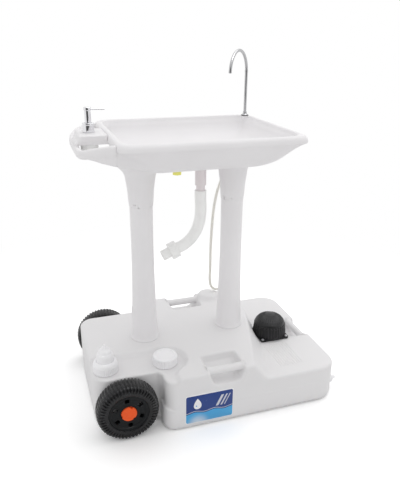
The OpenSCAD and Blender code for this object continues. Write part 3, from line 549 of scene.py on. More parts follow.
def hub_field(x, y, z):
    """Field of a hub about the Z axis: rim, web with six square windows, cup for the cover, and boss."""
    r = np.hypot(x, y)
    rim = round_both(np.abs(r - 45) - 3.85, np.abs(z - WHEEL_W / 2) - WHEEL_W / 2 + 3, 1.2)
    web = np.maximum(np.abs(r - 31) - 11, np.abs(z - WHEEL_W + 7.5 - swell((28 - r) / 6)) - 2)
    body = fillet(rim, web, 2)
    body = fillet(body, round_both(r - 13, np.abs(z - 14) - 17.6, 1), 2)
    floor = np.maximum(np.abs(r - 17) - 5, np.abs(z - WHEEL_W + 19) - 1.8)
    cup = round_both(np.abs(r - 21) - 1.5, np.abs(z - WHEEL_W + 12.5) - 8, 0.6)
    body = fillet(fillet(body, floor, 2), cup, 1.5)
    body = cut(body, r - 5.06, 0.5)
    for k in range(6):
        a = math.radians(60 * k + 35)
        u, v = x * math.cos(a) + y * math.sin(a) - 34, y * math.cos(a) - x * math.sin(a)
        body = cut(body, round_both(np.abs(u) - 5.2, np.abs(v) - 5.2, 0.8), 0.5)
    return body


def hub_cap_field(x, y, z):
    """Field of a push-in hub cover about the Z axis, with a dished face and three notches in its edge."""
    r = np.hypot(x, y)
    body = round_both(r - 18.9 + 1.4 * np.clip((z - 9) / 2.5, 0, 1) ** 2, np.abs(z - 5.75) - 5.75, 0.8)
    body = cut(body, np.maximum(r - 14.5, z - 8), 0.4)
    body = cut(body, round_both(r - 10.5, 10.9 - z, 0.5), 0.4)
    for k in range(3):
        a = math.radians(120 * k + 70)
        notch = np.hypot(x - 19.4 * math.cos(a), y - 19.4 * math.sin(a)) - 3.4
        body = cut(body, np.maximum(notch, 5 - z), 0.5)
    return body


def on_wheel(shell, side, rise=0.0):
    """A shell about the Z axis set on the axle, on one side of the tank."""
    return set_at(set_at(shell, (0, 0, rise)), (WHEEL[0], side * WHEEL_IN, WHEEL[2]),
                  turning(-90 * side, "X"))


# ---- caps and pump ----

def rib_gap(angle, count, sharp):
    """Smooth square wave of the angle, 0 on that many ribs and 1 between them."""
    return 0.5 - 0.5 * np.tanh(sharp * np.sin(count * angle))


def ribs(count, depth, low, high, sharp):
    """Carving for turned(): upright grip ribs between two heights."""
    def carve(angle, r, z):
        gap = rib_gap(angle, count, sharp)
        return r - depth * gap * swell((z - low) / 1.2 + 0.5) * swell((high - z) / 1.2 + 0.5)
    return carve


def rise_lines(outline, step=1.2):
    """The outline with more points, none further apart than step."""
    out = []
    for a, b in zip(outline, np.roll(outline, -1, axis=0)):
        n = max(1, math.ceil(np.linalg.norm(b - a) / step))
        out.append(a + (b - a) * np.linspace(0, 1, n, endpoint=False)[:, None])
    return np.concatenate(out)


def gripped(corners, count, per_rib, depth, low, high, sharp=1.4):
    """Outline of corners (radius, height, fillet) turned about the Z axis, with grip ribs."""
    return turned(rise_lines(fillets(corners)), count * per_rib, ribs(count, depth, low, high, sharp))


def fill_cap_shell():
    """Ribbed cap with a shallow round recess in its top and the neck's bore below."""
    z = span("fill_cap")[0][2]
    corners = [(27.2, z, 0.4), (31, z, 0.8), (31, z + 19.5, 1.2), (30, z + 21.8, 1), (28.4, z + 23.5, 1.6),
               (24.2, z + 23.5, 0.8), (23.2, z + 21.5, 1), (3, z + 21.5, 1), (0.01, z + 21.5),
               (0.01, z + 19.02), (27.2, z + 19.02, 0.6)]
    return stood(gripped(corners, 30, 14, 1.4, z, z + 19.6), FILL)


def spout_ring_shell():
    """Ribbed screw ring with a rounded collar round the pouring dome."""
    z = span("spout_ring")[0][2]
    corners = [(25.2, z, 0.4), (30.5, z, 0.8), (30.5, z + 19, 0.5), (29.4, z + 19.4, 0.4), (29.4, z + 21, 1),
               (28.4, z + 24.5, 3), (26, z + 28.2, 2), (22.5, z + 30, 1), (21.1, z + 30, 0.6),
               (21.1, z + 25.6, 0.3), (25.2, z + 25.6, 0.5)]
    return stood(gripped(corners, 36, 12, 1.2, z, z + 18.6), SPOUT)


def spout_dome_shell():
    """Pouring dome in two rounded steps under the tip, and the bore inside."""
    z = span("spout_nozzle")[0][2]
    return lathed([(18, z, 0.3), (23.5, z, 0.4), (23.5, z + 3, 0.4), (20.8, z + 3, 0.3), (20.8, z + 12, 4),
                   (20.6, z + 21, 4), (18.6, z + 26.4, 3), (15.6, z + 26.6, 0.7), (15.4, z + 31.5, 2.5),
                   (13, z + 36, 3), (7.4, z + 37.8, 0.8), (6.8, z + 42.2, 0.8), (5.2, z + 44.9, 0.5),
                   (3, z + 44.9, 0.3), (3, z + 39, 0.5), (5, z + 35, 1), (11, z + 32, 2), (13, z + 24.5, 3),
                   (17.4, z + 17.5, 3), (18, z + 10, 2)], SPOUT)


def spout_tip_shell():
    """Pull cap of the pouring tip, with a small knob."""
    z = span("spout_nozzle")[1][2]
    return lathed([(0.01, z - 5), (2.95, z - 5, 0.4), (2.95, z - 0.01, 0.1), (3.9, z - 0.01, 0.3),
                   (3.9, z + 1.2, 0.5), (3, z + 1.8, 0.4), (2.8, z + 3.4, 0.6), (0.01, z + 3.4)], SPOUT, 48)


def drain_plug_shell():
    """Plug along +X: ribbed grip, tapered neck and a round stem."""
    corners = [(0.01, -9), (7.6, -9, 0.8), (7.6, -0.01, 0.2), (12.5, 0, 0.6), (12.5, 8.6, 0.8),
               (11.2, 9.4, 0.6), (6.2, 16, 2), (4, 17, 1), (4, 22.8, 1), (0.01, 22.8)]
    at = (PLUG_FACE + 1.5, PLUG[1], PLUG[2])
    return set_at(gripped(corners, 18, 12, 1, 0, 8.6, 1.8), at, turning(90, "Y"))


def bellows_shell():
    """Rubber skirt of the foot pump: a fluted side, a toothed ring at the dome's foot, and its bore. Flutes
    and teeth are smooth square waves of the angle."""
    z0 = PLATE_TOP
    outline = fillets([(40, z0, 0.3), (46.4, z0, 0.8), (47, z0 + 4, 2), (45.8, z0 + 18, 6),
                       (43.4, z0 + 28, 3), (44.4, z0 + 29, 0.4), (44.6, z0 + 32, 0.8), (42.2, z0 + 33, 0.6),
                       (41.6, z0 + 36, 3), (40.8, z0 + 39, 0.3), (37, z0 + 39, 0.3), (37, z0 + 26, 0.5),
                       (40, z0 + 26, 0.5)])

    def carve(angle, r, z):
        teeth = swell((z - z0 - 28.4) / 0.6) * swell((z0 + 33.2 - z) / 0.6)
        flutes = swell((z - z0 - 0.6) / 1.5) * swell((z0 + 27.6 - z) / 1.5)
        return r - (r > 40.5) * rib_gap(angle, PUMP_RIBS, PUMP_SHARP) * (2.6 * teeth + 2 * flutes)

    return stood(turned(rise_lines(outline, 1.5), PUMP_RIBS * 14, carve), PUMP)


def tread_shell():
    """Rubber dome of the foot pump: an ellipsoid's cap with radial ribs that fade out at the crown."""
    z0 = span("pump_tread")[0][2]
    rise = np.linspace(0, 19.4, 22)
    dome = [(0.01 + 42.6 * math.sqrt(max(0, 1 - ((t + 9.3) / 28.8) ** 2)), z0 + t) for t in rise]
    outline = np.array([(34, z0)] + dome + [(0.01, z0 + 19.6), (0.01, z0 + 7), (34, z0 + 7)])
    points, quads, tris = turned(rise_lines(outline, 1.6), PUMP_RIBS * 14)
    r = np.hypot(points[:, 0], points[:, 1])
    gap = rib_gap(np.arctan2(points[:, 1], points[:, 0]), PUMP_RIBS, PUMP_SHARP)
    # on the outside alone: above the hollow, or further out than it
    outer = points[:, 2] - z0 > 7.5 - 100 * (r > 35)
    gap *= swell((points[:, 2] - z0 - 1) / 2) * swell((r - 12) / 5) * outer
    points[:, :2] *= (1 - 1.1 * gap / np.maximum(r, 1))[:, None]
    points[:, 2] -= 0.7 * gap * (r < 35)
    return stood((points, quads, tris), PUMP)


def coil(radius, wire, turns, z0, z1, per_turn=28):
    """Spring: a circle carried along a helix about the Z axis, its ends drawn level."""
    t = np.linspace(0, 1, turns * per_turn + 1)
    level = np.clip((t - 0.5 / turns) / (1 - 1 / turns), 0, 1)
    a = 2 * np.pi * turns * t
    path = np.stack([radius * np.cos(a), radius * np.sin(a), z0 + (z1 - z0) * level], axis=1)
    return tube(path, wire / 2, 10, up=(0, 0, 1))


# ---- columns and basin ----

def column_shell(at):
    """Column: collar on the deck, a slightly waisted shaft, and the spigot in the basin's socket. Its
    radius is 28 plus a square of the height from the waist."""
    z = np.linspace(DECK + 5, SOCKET_Z + 1.5, 40)
    t = (z - 425) / 270
    shaft = np.stack([28 + np.where(t < 0, 7.4, 5.0) * t * t, z], axis=1)
    foot = fillets([(24.5, 109), (28.5, 109, 0.8), (28.5, DECK - 0.01, 0.2), (37.2, DECK, 0.5),
                    (37.4, DECK + 2.6, 1), (36.4, DECK + 3.6, 0.6), tuple(shaft[0])], closed=False)
    top = fillets([tuple(shaft[-1]), (25.6, SOCKET_Z + 1.6), (25.6, BORE_TOP - 1.5, 1),
                   (22, BORE_TOP - 1.5, 0.5), (22, SOCKET_Z - 12, 2), (24.5, SOCKET_Z - 30)], closed=False)
    return stood(turned(np.concatenate([foot, shaft[1:-1], top])), at)


def rim_rows(rings, across=44):
    """Rings (inset from the rim's outline, height, corner radius) as rows of points of equal count: four
    quarter circles, with points spread along the straight sides as well."""
    rows = []
    for inset, z, radius in rings:
        x0, x1, y0, y1 = RIM_LOW[0] + inset, RIM_HIGH[0] - inset, RIM_LOW[1] + inset, RIM_HIGH[1] - inset
        turn = np.linspace(0, np.pi / 2, 13)
        line = []
        corners = ((x1 - radius, y1 - radius), (x0 + radius, y1 - radius),
                   (x0 + radius, y0 + radius), (x1 - radius, y0 + radius))
        for k, (cx, cy) in enumerate(corners):
            a = turn + k * np.pi / 2
            line.append(np.stack([cx + radius * np.cos(a), cy + radius * np.sin(a)], axis=1))
        out = []
        for k in range(4):
            out.append(line[k])
            a, b = line[k][-1], line[(k + 1) % 4][0]
            out.append(a + (b - a) * np.linspace(0, 1, across + 1)[1:-1, None])
        flat = np.concatenate(out)
        rows.append(np.concatenate([flat, np.full((len(flat), 1), z)], axis=1))
    return np.stack(rows)


def round_rows(rows_like, rings):
    """Circles (radius, height) round the drain, each point on the ray to its partner in another row."""
    ray = rows_like[:, :2] - DRAIN[:2]
    ray /= np.linalg.norm(ray, axis=1, keepdims=True)
    return np.stack([np.concatenate([DRAIN[:2] + r * ray, np.full((len(ray), 1), z)], axis=1)
                     for r, z in rings])


# Rings of the bowl's underside and inside: inset from the rim's outline, height below the rim, corner radius
UNDER_BOWL = [(74, -61.5, 17), (57, -56, 18), (38, -42, 24), (24, -26, 25), (19, -10, 30), (17.5, -5, 34),
              (13, -5, 24), (13, -17, 20), (3.3, -17.6, 27)]
OVER_BOWL = [(15.5, -1.5, 40), (18.5, -8, 36), (22.5, -15, 29), (27, -24, 18), (34.5, -34, 11), (47, -45, 8),
             (66, -53, 8), (88, -58, 10)]


def bowl_shell():
    """Bowl: rings from the drain's underside out under the floor, round the rim's band and its edges, and
    down the inside to the drain, each curved part a Catmull-Rom curve through its rings."""
    # the rim's nose: a quarter of an ellipse above, 11 in and 13 up, and a smaller one below
    t = np.radians(np.linspace(0, 90, 9))
    low = np.stack([3.2 * (1 - np.sin(t)), -14 - 4 * np.cos(t)], axis=1)
    high = np.stack([11 * (1 - np.cos(t)), -13 + 13 * np.sin(t)], axis=1)
    lip = np.concatenate([low, high, [(13, -0.25)]])
    lip = np.column_stack([lip, np.interp(lip[:, 0], (0, 11, 15.5), (30, 24, 36))])
    rings = np.concatenate([smooth_path(UNDER_BOWL[:6], 4), UNDER_BOWL[6:], lip, smooth_path(OVER_BOWL, 5)])
    rows = rim_rows([(d, RIM_Z + z, r) for d, z, r in rings])
    first = round_rows(rows[0], [(19, RIM_Z - 71.5), (24, RIM_Z - 71.5), (30, RIM_Z - 71.3)])
    last = round_rows(rows[-1], [(42, RIM_Z - 62.8), (32, RIM_Z - 65.4), (25.5, RIM_Z - 66.4),
                                 (24.1, RIM_Z - 67), (24, RIM_Z - 68.5), (19, RIM_Z - 68.5)])
    return grid(np.concatenate([first, rows, last]), loop=True)


def faucet_boss_shell():
    """Boss under the spout's foot, in the bowl's corner."""
    return lathed([(5.05, RIM_Z - 26), (8.6, RIM_Z - 26, 1), (8.6, RIM_Z - 0.6, 0.8), (5.05, RIM_Z - 0.6)],
                  FAUCET, 64)


# Rings of the basin's underside shell: inset from the rim's outline, height, corner radius
BASE_RINGS = np.array([
    (128, 617, 16), (108, 617.2, 22), (87, 618.6, 30), (68, 623.6, 38), (50, 633, 42), (36.5, 645, 42),
    (27, 656, 41), (18, 667, 37), (10, 676, 32), (4, 682, 30), (3, 692, 29)])
# Outline of a column's socket: radius, height
SOCKET_LINE = np.array([
    (28.9, 505), (28.95, 515), (29.4, 519), (30.6, 530), (32.2, 555), (34.8, 575), (36.6, 590), (40.5, 602),
    (47, 611), (55, 620), (63, 630), (69, 642), (71, 655)])
BASE_WALL, BASE_TOP = 9.0, 689.0
BASE_CURVE, SOCKET_CURVE = smooth_path(BASE_RINGS[::-1], 6)[::-1], smooth_path(SOCKET_LINE, 5)
# Middle line of the webs under the towel rail: x, and distance from the basin's middle
WEB_LINE = np.array([(-293, 108), (-279, 130), (-262, 142), (-240, 145), (-215, 143), (-185, 136),
                     (-170, 130)])


def along(curve, column, z):
    """Value of a curve's column at a height, and how fast it changes there. Its second column is heights."""
    order = np.argsort(curve[:, 1])
    heights, values = curve[order, 1], curve[order, column]
    value = np.interp(z, heights, values)
    return value, (np.interp(z + 0.8, heights, values) - np.interp(z - 0.8, heights, values)) / 1.6


def rim_plan(x, y, inset, radius):
    """Distance from the rim's outline drawn in by an inset, with that radius at its corners."""
    return box_plan(x, y, RIM_LOW[0] + inset, RIM_HIGH[0] - inset, RIM_LOW[1] + inset, RIM_HIGH[1] - inset,
                    radius, radius)


def rail_web(x, y, z):
    """Field of the two webs under the towel rail's bars: each runs from a bar's foot down to the basin's
    flare, which it enters by 4."""
    across = np.abs(y - DRAIN[1]) - np.interp(x, *WEB_LINE.T)
    web = np.maximum(np.abs(across) - 8, np.maximum(666 - 0.28 * (x + 285) - z, z - 684))
    base = rim_plan(x, y, along(BASE_CURVE, 0, z)[0], along(BASE_CURVE, 2, z)[0])
    return np.maximum(np.maximum(web, -4 - base), np.abs(x + 228) - 56)


def base_field(x, y, z):
    """Field of the basin's underside shell: a rounded rectangle that shrinks towards the bottom, joined to
    two flared sockets, hollowed to a wall and open at the top."""
    inset, slope = along(BASE_CURVE, 0, z)
    shape = rim_plan(x, y, inset, along(BASE_CURVE, 2, z)[0])
    body = round_both(shape / np.sqrt(1 + np.minimum(slope ** 2, 40)), BASE_RINGS[0, 1] - z, 2)
    for column, widen in ((LEFT_COLUMN, 1.22), (RIGHT_COLUMN, 1.0)):
        reach, slope = along(SOCKET_CURVE, 0, z)
        reach = np.where(z > 575, 34.8 + widen * (reach - 34.8), reach)
        socket = (np.hypot(x - column[0], y - column[1]) - reach) / np.sqrt(1 + slope ** 2)
        socket = np.maximum(round_both(socket, SOCKET_Z - z, 0.4), z - 655)
        body = fillet(body, socket, 13)
    body = fillet(body, np.maximum(rail_web(x, y, z), RIM_LOW[0] + 0.4 - x), 9)
    # hollow above the sockets, and open at the top, inside the rim
    wall = np.where(z < 598, body, np.maximum(body, -BASE_WALL - body))
    wall = np.maximum(wall, z - BASE_TOP)
    for column in (LEFT_COLUMN, RIGHT_COLUMN):
        wall = cut(wall, np.maximum(np.hypot(x - column[0], y - column[1]) - 25.75, z - BORE_TOP), 1)
    r = np.hypot(x - DRAIN[0], y - DRAIN[1])
    wall = cut(wall, np.maximum(r - 16, z - 640), 0.8)
    return cut(wall, np.maximum(np.hypot(x - FAUCET[0], y - FAUCET[1]) - 10.5, np.abs(z - 640) - 36), 0.5)


def base_shell(step):
    """The basin's underside shell, with finer layers where it runs nearly level."""
    xs = spread(RIM_LOW[0] - 3, RIM_HIGH[0] + 3, step)
    ys = spread(RIM_LOW[1] - 3, RIM_HIGH[1] + 3, step)
    zs = spread(511, BASE_TOP + 3, step, [(513, 519, 0.8)])
    return skin(base_field, xs, ys, zs)


# Half of the towel rail's middle line: x, distance from the basin's middle, height
RAIL_HALF = np.array([(-226, 150, 689), (-236, 150, 688), (-258, 148, 686), (-279, 134, 680),
                      (-293, 110, 673), (-299, 78, 669), (-300, 40, 668), (-300, 0, 668)])


def rail_field(x, y, z):
    """Field of the towel rail: a bar of oval section, about 14 wide and 20 tall, along a bent line
    mirrored about the basin's middle, and the soap pump's platform, which narrows downwards."""
    shape = np.broadcast_shapes(np.shape(x), np.shape(y), np.shape(z))
    px, py, pz = (np.broadcast_to(v, shape).ravel() for v in (x, y, z))
    line = smooth_path(RAIL_HALF, 7)
    away = np.abs(py - DRAIN[1])
    best = np.full(len(px), 1e9)
    for a, b in zip(line[:-1], line[1:]):
        d = b - a
        t = np.clip(((px - a[0]) * d[0] + (away - a[1]) * d[1]) / (d[0] ** 2 + d[1] ** 2), 0, 1)
        flat = np.hypot(px - a[0] - t * d[0], away - a[1] - t * d[1])
        tall = np.abs(pz + 1.5 - a[2] - t * d[2]) * (7 / 10)
        best = np.minimum(best, (flat ** 2.6 + tall ** 2.6) ** (1 / 2.6) - 6.8)
    past = x - RIM_LOW[0] - 0.4      # where the basin begins
    body = np.maximum(best.reshape(shape), past)
    web = rail_web(px, py, pz).reshape(shape)
    body = fillet(body, np.maximum(web, past), 5)
    # the platform, whose sides lean with its height
    level = z - RIM_Z
    left, low, high = (np.interp(level, (-22, -12, -2, 0), sides) for sides in (
        (-305.5, -298, -294, -292), (-32, -38, -40, -38), (50, 56, 58, 56)))
    block = box_plan(x, y, left, RIM_LOW[0] + 9, low, high, 8, 8)
    block = round_both(0.9 * block, np.abs(level + 11) - 11, 1.6)
    body = fillet(body, np.maximum(block, past), 3)
    r = np.hypot(x - SOAP[0], y - SOAP[1])
    body = cut(body, r - 12.1, 0.5)
    return cut(body, np.maximum(r - 20.4, z - 685), 0.5)


def soap_collar_shell():
    """Collar of the soap pump: straight side, a groove and a wider rim."""
    z = RIM_Z
    return lathed([(11.75, z, 0.3), (13.3, z, 0.5), (13.3, z + 1.5, 0.4), (13.3, z + 15.6, 0.5),
                   (12.9, z + 16.4, 0.3), (13.4, z + 17.4, 0.4), (14, z + 18.6, 0.7), (13.8, z + 20.9, 0.7),
                   (8.3, z + 20.9, 0.4), (8.3, z + 10, 0.5), (11.75, z + 10, 0.4)], SOAP)


def soap_stem_shell():
    """Stem of the soap pump, with the thin plunger below."""
    z = RIM_Z
    return lathed([(0.01, z - 28), (2.95, z - 28, 0.4), (2.95, z + 18, 0.5), (7.3, z + 18, 0.5),
                   (7.3, z + 47.9, 0.6), (6.6, z + 47.99), (0.01, z + 47.99)], SOAP, 64)


def soap_head_shell():
    """Round head of the soap pump and its thin nozzle."""
    z = span("soap_head")[0][2]
    head = lathed([(0.01, z), (7.6, z, 0.4), (8.6, z + 1, 1), (8.6, z + 6.6, 1.6), (7.2, z + 8, 1.4),
                   (0.01, z + 7.6)], SOAP, 64)
    x = np.linspace(4, 38, 24)
    path = np.stack([x, 0 * x, z + 2.6 + 0 * x], axis=1)
    return join(head, stood(set_at(tube(path, 1.95, 20, up=(0, 0, 1)), turn=turning(-6, "Z")), SOAP))


def faucet_flange_shell():
    """Foot of the spout: a flared disc that narrows to a sleeve."""
    z = RIM_Z + 1
    return lathed([(4.06, z), (9.8, z, 0.3), (10, z + 1.2, 0.6), (5.8, z + 2.6, 1.8), (5.2, z + 8.6, 0.8),
                   (5, z + 9, 0.3), (4.06, z + 9)], FAUCET, 64)


def faucet_line():
    """The spout's centre line: straight up, and round a bend that stops short of straight down."""
    up = np.stack([0 * np.arange(24.0), 0 * np.arange(24.0), np.linspace(RIM_Z - 18, BEND_Z, 24)], axis=1)
    a = np.radians(np.linspace(0, BEND_TURN, 90))[1:]
    bend = np.stack([BEND_R - BEND_R * np.cos(a), 0 * a, BEND_Z + BEND_R * np.sin(a)], axis=1)
    return np.concatenate([up, bend])


# ---- shader maths ----

class Wire:
    """One socket of a material. Arithmetic on it adds Math nodes, and node() adds any other node."""

    def __init__(self, tree, socket=None):
        self.tree, self.socket = tree, socket

    def node(self, kind, settings=None, inputs=None, out=0):
        """Adds a node: its settings first, then the values or links of its sockets. Returns one output, if
        it has any."""
        made = self.tree.nodes.new(kind)
        for key, value in (settings or {}).items():
            setattr(made, key, value)
        for key, value in (inputs or {}).items():
            self.feed(made.inputs[key], value)
        return Wire(self.tree, made.outputs[out] if made.outputs else None)

    def feed(self, socket, value):
        """Links a wire to a node's socket, or sets the socket to a value."""
        if isinstance(value, Wire):
            self.tree.links.new(value.socket, socket)
        else:
            socket.default_value = value

    def outputs(self, *names):
        """These outputs of this socket's node."""
        return [Wire(self.tree, self.socket.node.outputs[name]) for name in names]

    def parts(self):
        """X, Y and Z of this vector."""
        return self.node("ShaderNodeSeparateXYZ", None, {"Vector": self}).outputs(0, 1, 2)

    def math(self, operation, *others):
        """Math node of this socket and the others, in order."""
        return self.node("ShaderNodeMath", {"operation": operation}, dict(enumerate((self, *others))))

    def __add__(self, other):
        return self.math("ADD", other)

    __radd__ = __add__

    def __sub__(self, other):
        return self.math("SUBTRACT", other)

    def __rsub__(self, other):
        return self.node("ShaderNodeMath", {"operation": "SUBTRACT"}, {0: other, 1: self})

    def __mul__(self, other):
        return self.math("MULTIPLY", other)

    __rmul__ = __mul__

    def __truediv__(self, other):
        return self.math("DIVIDE", other)

    def __pow__(self, other):
        return self.math("POWER", other)

    def between(self, low, high):
        """0 below low, 1 above high, and a smooth step from one to the other."""
        return self.node("ShaderNodeMapRange", {"interpolation_type": "SMOOTHSTEP"},
                         {"Value": self, "From Min": low, "From Max": high})

    def blend(self, first, second):
        """Mix of two colours by this socket."""
        return self.node("ShaderNodeMix", {"data_type": "RGBA"}, {0: self, 6: first, 7: second}, out=2)


def apart(u, v):
    """Square root of the sum of two squares."""
    return (u ** 2.0 + v ** 2.0).math("SQRT")


def blank(owner):
    """Empties the node tree of a material or a world, and returns a wire to begin with."""
    owner.use_nodes = True
    owner.node_tree.nodes.clear()
    return Wire(owner.node_tree)


def solid(colour):
    """Four numbers from a colour property."""
    return (*tuple(colour)[:3], 1.0)


def shade(colour, factor):
    """The colour made lighter or darker."""
    return (*(min(1.0, c * factor) for c in tuple(colour)[:3]), 1.0)


class Finish:
    """A material with one Principled shader, and the parts that the finishes below share."""

    def __init__(self, name):
        self.material = bpy.data.materials.new(name)
        self.start = blank(self.material)
        shader = self.start.node("ShaderNodeBsdfPrincipled")
        self.start.node("ShaderNodeOutputMaterial", None, {"Surface": shader})
        self.sockets = shader.socket.node.inputs
        self.place = self.start.node("ShaderNodeTexCoord", out=3)

    def put(self, **values):
        """Sets or links the shader's sockets; Base_Color stands for Base Color."""
        for key, value in values.items():
            self.start.feed(self.sockets[key.replace("_", " ")], value)
        return self

    def noise(self, scale, detail, roughness=0.5, place=None):
        """Noise whose features are about 1 / scale metres across."""
        return self.start.node("ShaderNodeTexNoise", None, {
            "Vector": place or self.place, "Scale": scale, "Detail": detail, "Roughness": roughness})

    def stretched(self, x, y, z):
        """Object coordinates stretched along the axes."""
        return self.start.node("ShaderNodeMapping", None, {"Vector": self.place, "Scale": (x, y, z)})

    def bump(self, height, distance):
        """Bump from a height of 0 to 1, that distance in metres high."""
        return self.put(Normal=self.start.node("ShaderNodeBump", None, {
            "Strength": 1.0, "Distance": distance, "Height": height}))


def moulded(name, colour, rough, pebble=0.00012, pebble_scale=900.0, cloud=0.02, gloss=0.22):
    """Moulded plastic: a faint cloudiness in its colour, a pebbled skin, and a gloss that varies a little
    where it was handled."""
    f = Finish(name)
    cloudy = f.noise(7.0, 3.0)
    grain = f.noise(pebble_scale, 2.0)
    rub = f.noise(22.0, 4.0, 0.6)
    f.put(Base_Color=cloudy.between(0.3, 0.7).blend(shade(colour, 1 - cloud), shade(colour, 1 + cloud)),
          Roughness=rough - 0.05 + rub.between(0.35, 0.7) * 0.1, Specular_IOR_Level=gloss)
    return f.bump(grain * 0.7 + rub * 0.3, pebble).material


def tank_plastic(name, colour):
    """The tank's thick plastic: pebbled, with long soft flow marks, scuffs low on the sides, and a colour
    that darkens in the lowest few centimetres, towards the floor."""
    f = Finish(name)
    z = f.place.parts()[2]
    flow = f.noise(5.0, 3.0, 0.55, f.stretched(0.6, 0.6, 1.6))
    grain = f.noise(700.0, 3.0, 0.6)
    dents = f.noise(26.0, 2.0)
    # colour a little darker over the lowest 3 cm, towards the floor
    low = 1 - z.between(0.0, 0.03)
    scuffs = f.noise(60.0, 6.0, 0.7, f.stretched(0.35, 0.35, 2.2)).between(0.58, 0.7)
    scuffs = scuffs * (1 - z.between(0.01, 0.09))
    base = flow.between(0.3, 0.7).blend(shade(colour, 0.985), shade(colour, 1.012))
    # the lowest band and the scuffs blend towards a darker tone
    low_and_scuffed = (low * 0.35 + scuffs * 0.25).blend(base, shade(colour, 0.86))
    f.put(Base_Color=low_and_scuffed, Roughness=0.44 + scuffs * 0.16 + flow.between(0.3, 0.7) * 0.05,
          Specular_IOR_Level=0.22)
    return f.bump(grain * 0.55 + dents * 0.45, 0.00022).material


def rubber(name, colour, rough):
    """Black rubber: fine speckle and a cloudy dry bloom."""
    f = Finish(name)
    speckle = f.noise(1400.0, 2.0)
    bloom = f.noise(38.0, 5.0, 0.65)
    tone = bloom.between(0.35, 0.75).blend(shade(colour, 0.8), shade(colour, 1.9))
    f.put(Base_Color=tone, Roughness=rough + (bloom - 0.5) * 0.2, Specular_IOR_Level=0.42)
    return f.bump(speckle * 0.8 + bloom * 0.2, 0.00015).material


def metal(name, colour, rough, brushed):
    """Metal: fine scratches drawn out round the piece where it is brushed, and faint smudges."""
    f = Finish(name)
    smudge = f.noise(45.0, 4.0, 0.6)
    scratch = f.noise(900.0, 3.0, 0.6, f.stretched(1, 1, 0.04))
    f.put(Metallic=1.0, Base_Color=smudge.between(0.3, 0.7).blend(shade(colour, 0.94), shade(colour, 1.02)),
          Roughness=rough + smudge.between(0.4, 0.8) * 0.05 + scratch * brushed)
    return f.bump(scratch, 0.000002 + 0.0004 * brushed).material


def label_print(name, white, navy, sky):
    """Printed film: a white edge, a navy field with three pale slanted bars, a sky-blue foot with a wave for
    its upper edge, and a white drop. All of it is worked out from X and Z, in metres."""
    f = Finish(name)
    x, _, z = f.place.parts()
    low, high = span("tank_label")
    cx, cz = (low[0] + high[0]) / 2 * MM, (low[2] + high[2]) / 2 * MM
    half_w, half_h = (high[0] - low[0]) / 2 * MM, (high[2] - low[2]) / 2 * MM
    u, v = x - cx, z - cz
    wave = (u * (2 * math.pi / 0.05)).math("SINE") * 0.0022 + (-0.012)
    foot = (wave - v).between(-0.0001, 0.0001)
    field = foot.blend(solid(navy), solid(sky))
    glow = (0.035 - apart(u + 0.03, v + 0.045)).between(0.0, 0.03) * foot
    field = (glow * 0.7).blend(field, solid(white))
    crest = 1 - ((v - wave - 0.0035).math("ABSOLUTE")).between(0.0005, 0.0007)
    field = (crest * 0.85).blend(field, solid(white))
    # three slanted bars at the right
    slant = u - v * 0.5
    for place, half in ((0.020, 0.0035), (0.031, 0.0022), (0.0395, 0.0012)):
        across = 1 - ((slant - place).math("ABSOLUTE")).between(half - 0.0001, half + 0.0001)
        tall = (v + 0.0015).between(-0.0001, 0.0001) * (0.028 - v).between(-0.0001, 0.0001)
        field = (across * tall * 0.7).blend(field, solid(white))
    # a drop at the left: its half width goes as (1 - t) times the root of t, from its foot up
    t = ((v + 0.001) / 0.031).math("MINIMUM", 1.0).math("MAXIMUM", 0.0)
    width = (1 - t) * (t ** 0.5) * 0.026
    drop = (width - (u + 0.031).math("ABSOLUTE")).between(0.0, 0.0004)
    shine = 1 - apart(u + 0.034, v - 0.0085).between(0.0016, 0.0019)
    field = drop.blend(field, solid(white))
    field = (shine * drop).blend(field, solid(sky))
    # the edge
    out_u = (u.math("ABSOLUTE") - (half_w - 0.007)).math("MAXIMUM", 0.0)
    out_v = (v.math("ABSOLUTE") - (half_h - 0.007)).math("MAXIMUM", 0.0)
    inner = 1 - apart(out_u, out_v).between(0.0048, 0.005)
    field = inner.blend(solid(white), field)
    worn = f.noise(120.0, 5.0, 0.7).between(0.66, 0.8) * 0.12
    f.put(Base_Color=worn.blend(field, solid(white)), Roughness=0.3 + f.noise(60.0, 3.0) * 0.15)
    return f.bump(f.noise(180.0, 2.0), 0.00004).material


def soft_hose(name, colour, clear=0.0):
    """Soft hose: a cloudy, milky skin, which may let a part of the light through."""
    f = Finish(name)
    cloudy = f.noise(30.0, 3.0)
    skin_grain = f.noise(420.0, 3.0, 0.6)
    f.put(Base_Color=cloudy.between(0.3, 0.7).blend(shade(colour, 0.97), shade(colour, 1.02)),
          Roughness=0.34 + cloudy.between(0.3, 0.7) * 0.08)
    if clear:
        f.put(Transmission_Weight=clear, IOR=1.38)
    return f.bump(skin_grain, 0.00008).material


# ---- settings that a user would change ----

def length(name, description, default, high):
    """A length property, in metres."""
    return bpy.props.FloatProperty(name=name, description=description, default=default, min=0, max=high,
                                   precision=5, unit="LENGTH")


def colour(name, description, default):
    """A colour property."""
    return bpy.props.FloatVectorProperty(name=name, description=description, default=default, min=0, max=1,
                                         subtype="COLOR")


class WashStandSizes(bpy.types.PropertyGroup):
    """Sizes of the small forms on the surfaces"""
    seam: length("Mould seam", "Height of the seam line round the tank", 0.0004, 0.001)
    groove: length("Tread grooves", "Depth of the grooves on the lower deck", 0.0012, 0.002)
    top_edge: length("Deck edge", "Radius of the tank's upper edge", 0.007, 0.009)
    tank_grid: length("Tank grid", "Distance of the grid lines for the tank's skin", 0.004, 0.01)
    lug_depth: length("Lug depth", "Depth of the tyres' tread", 0.0032, 0.004)
    lugs: bpy.props.IntProperty(name="Lugs", description="Number of lugs round a tyre", default=52, min=12,
                                max=90)


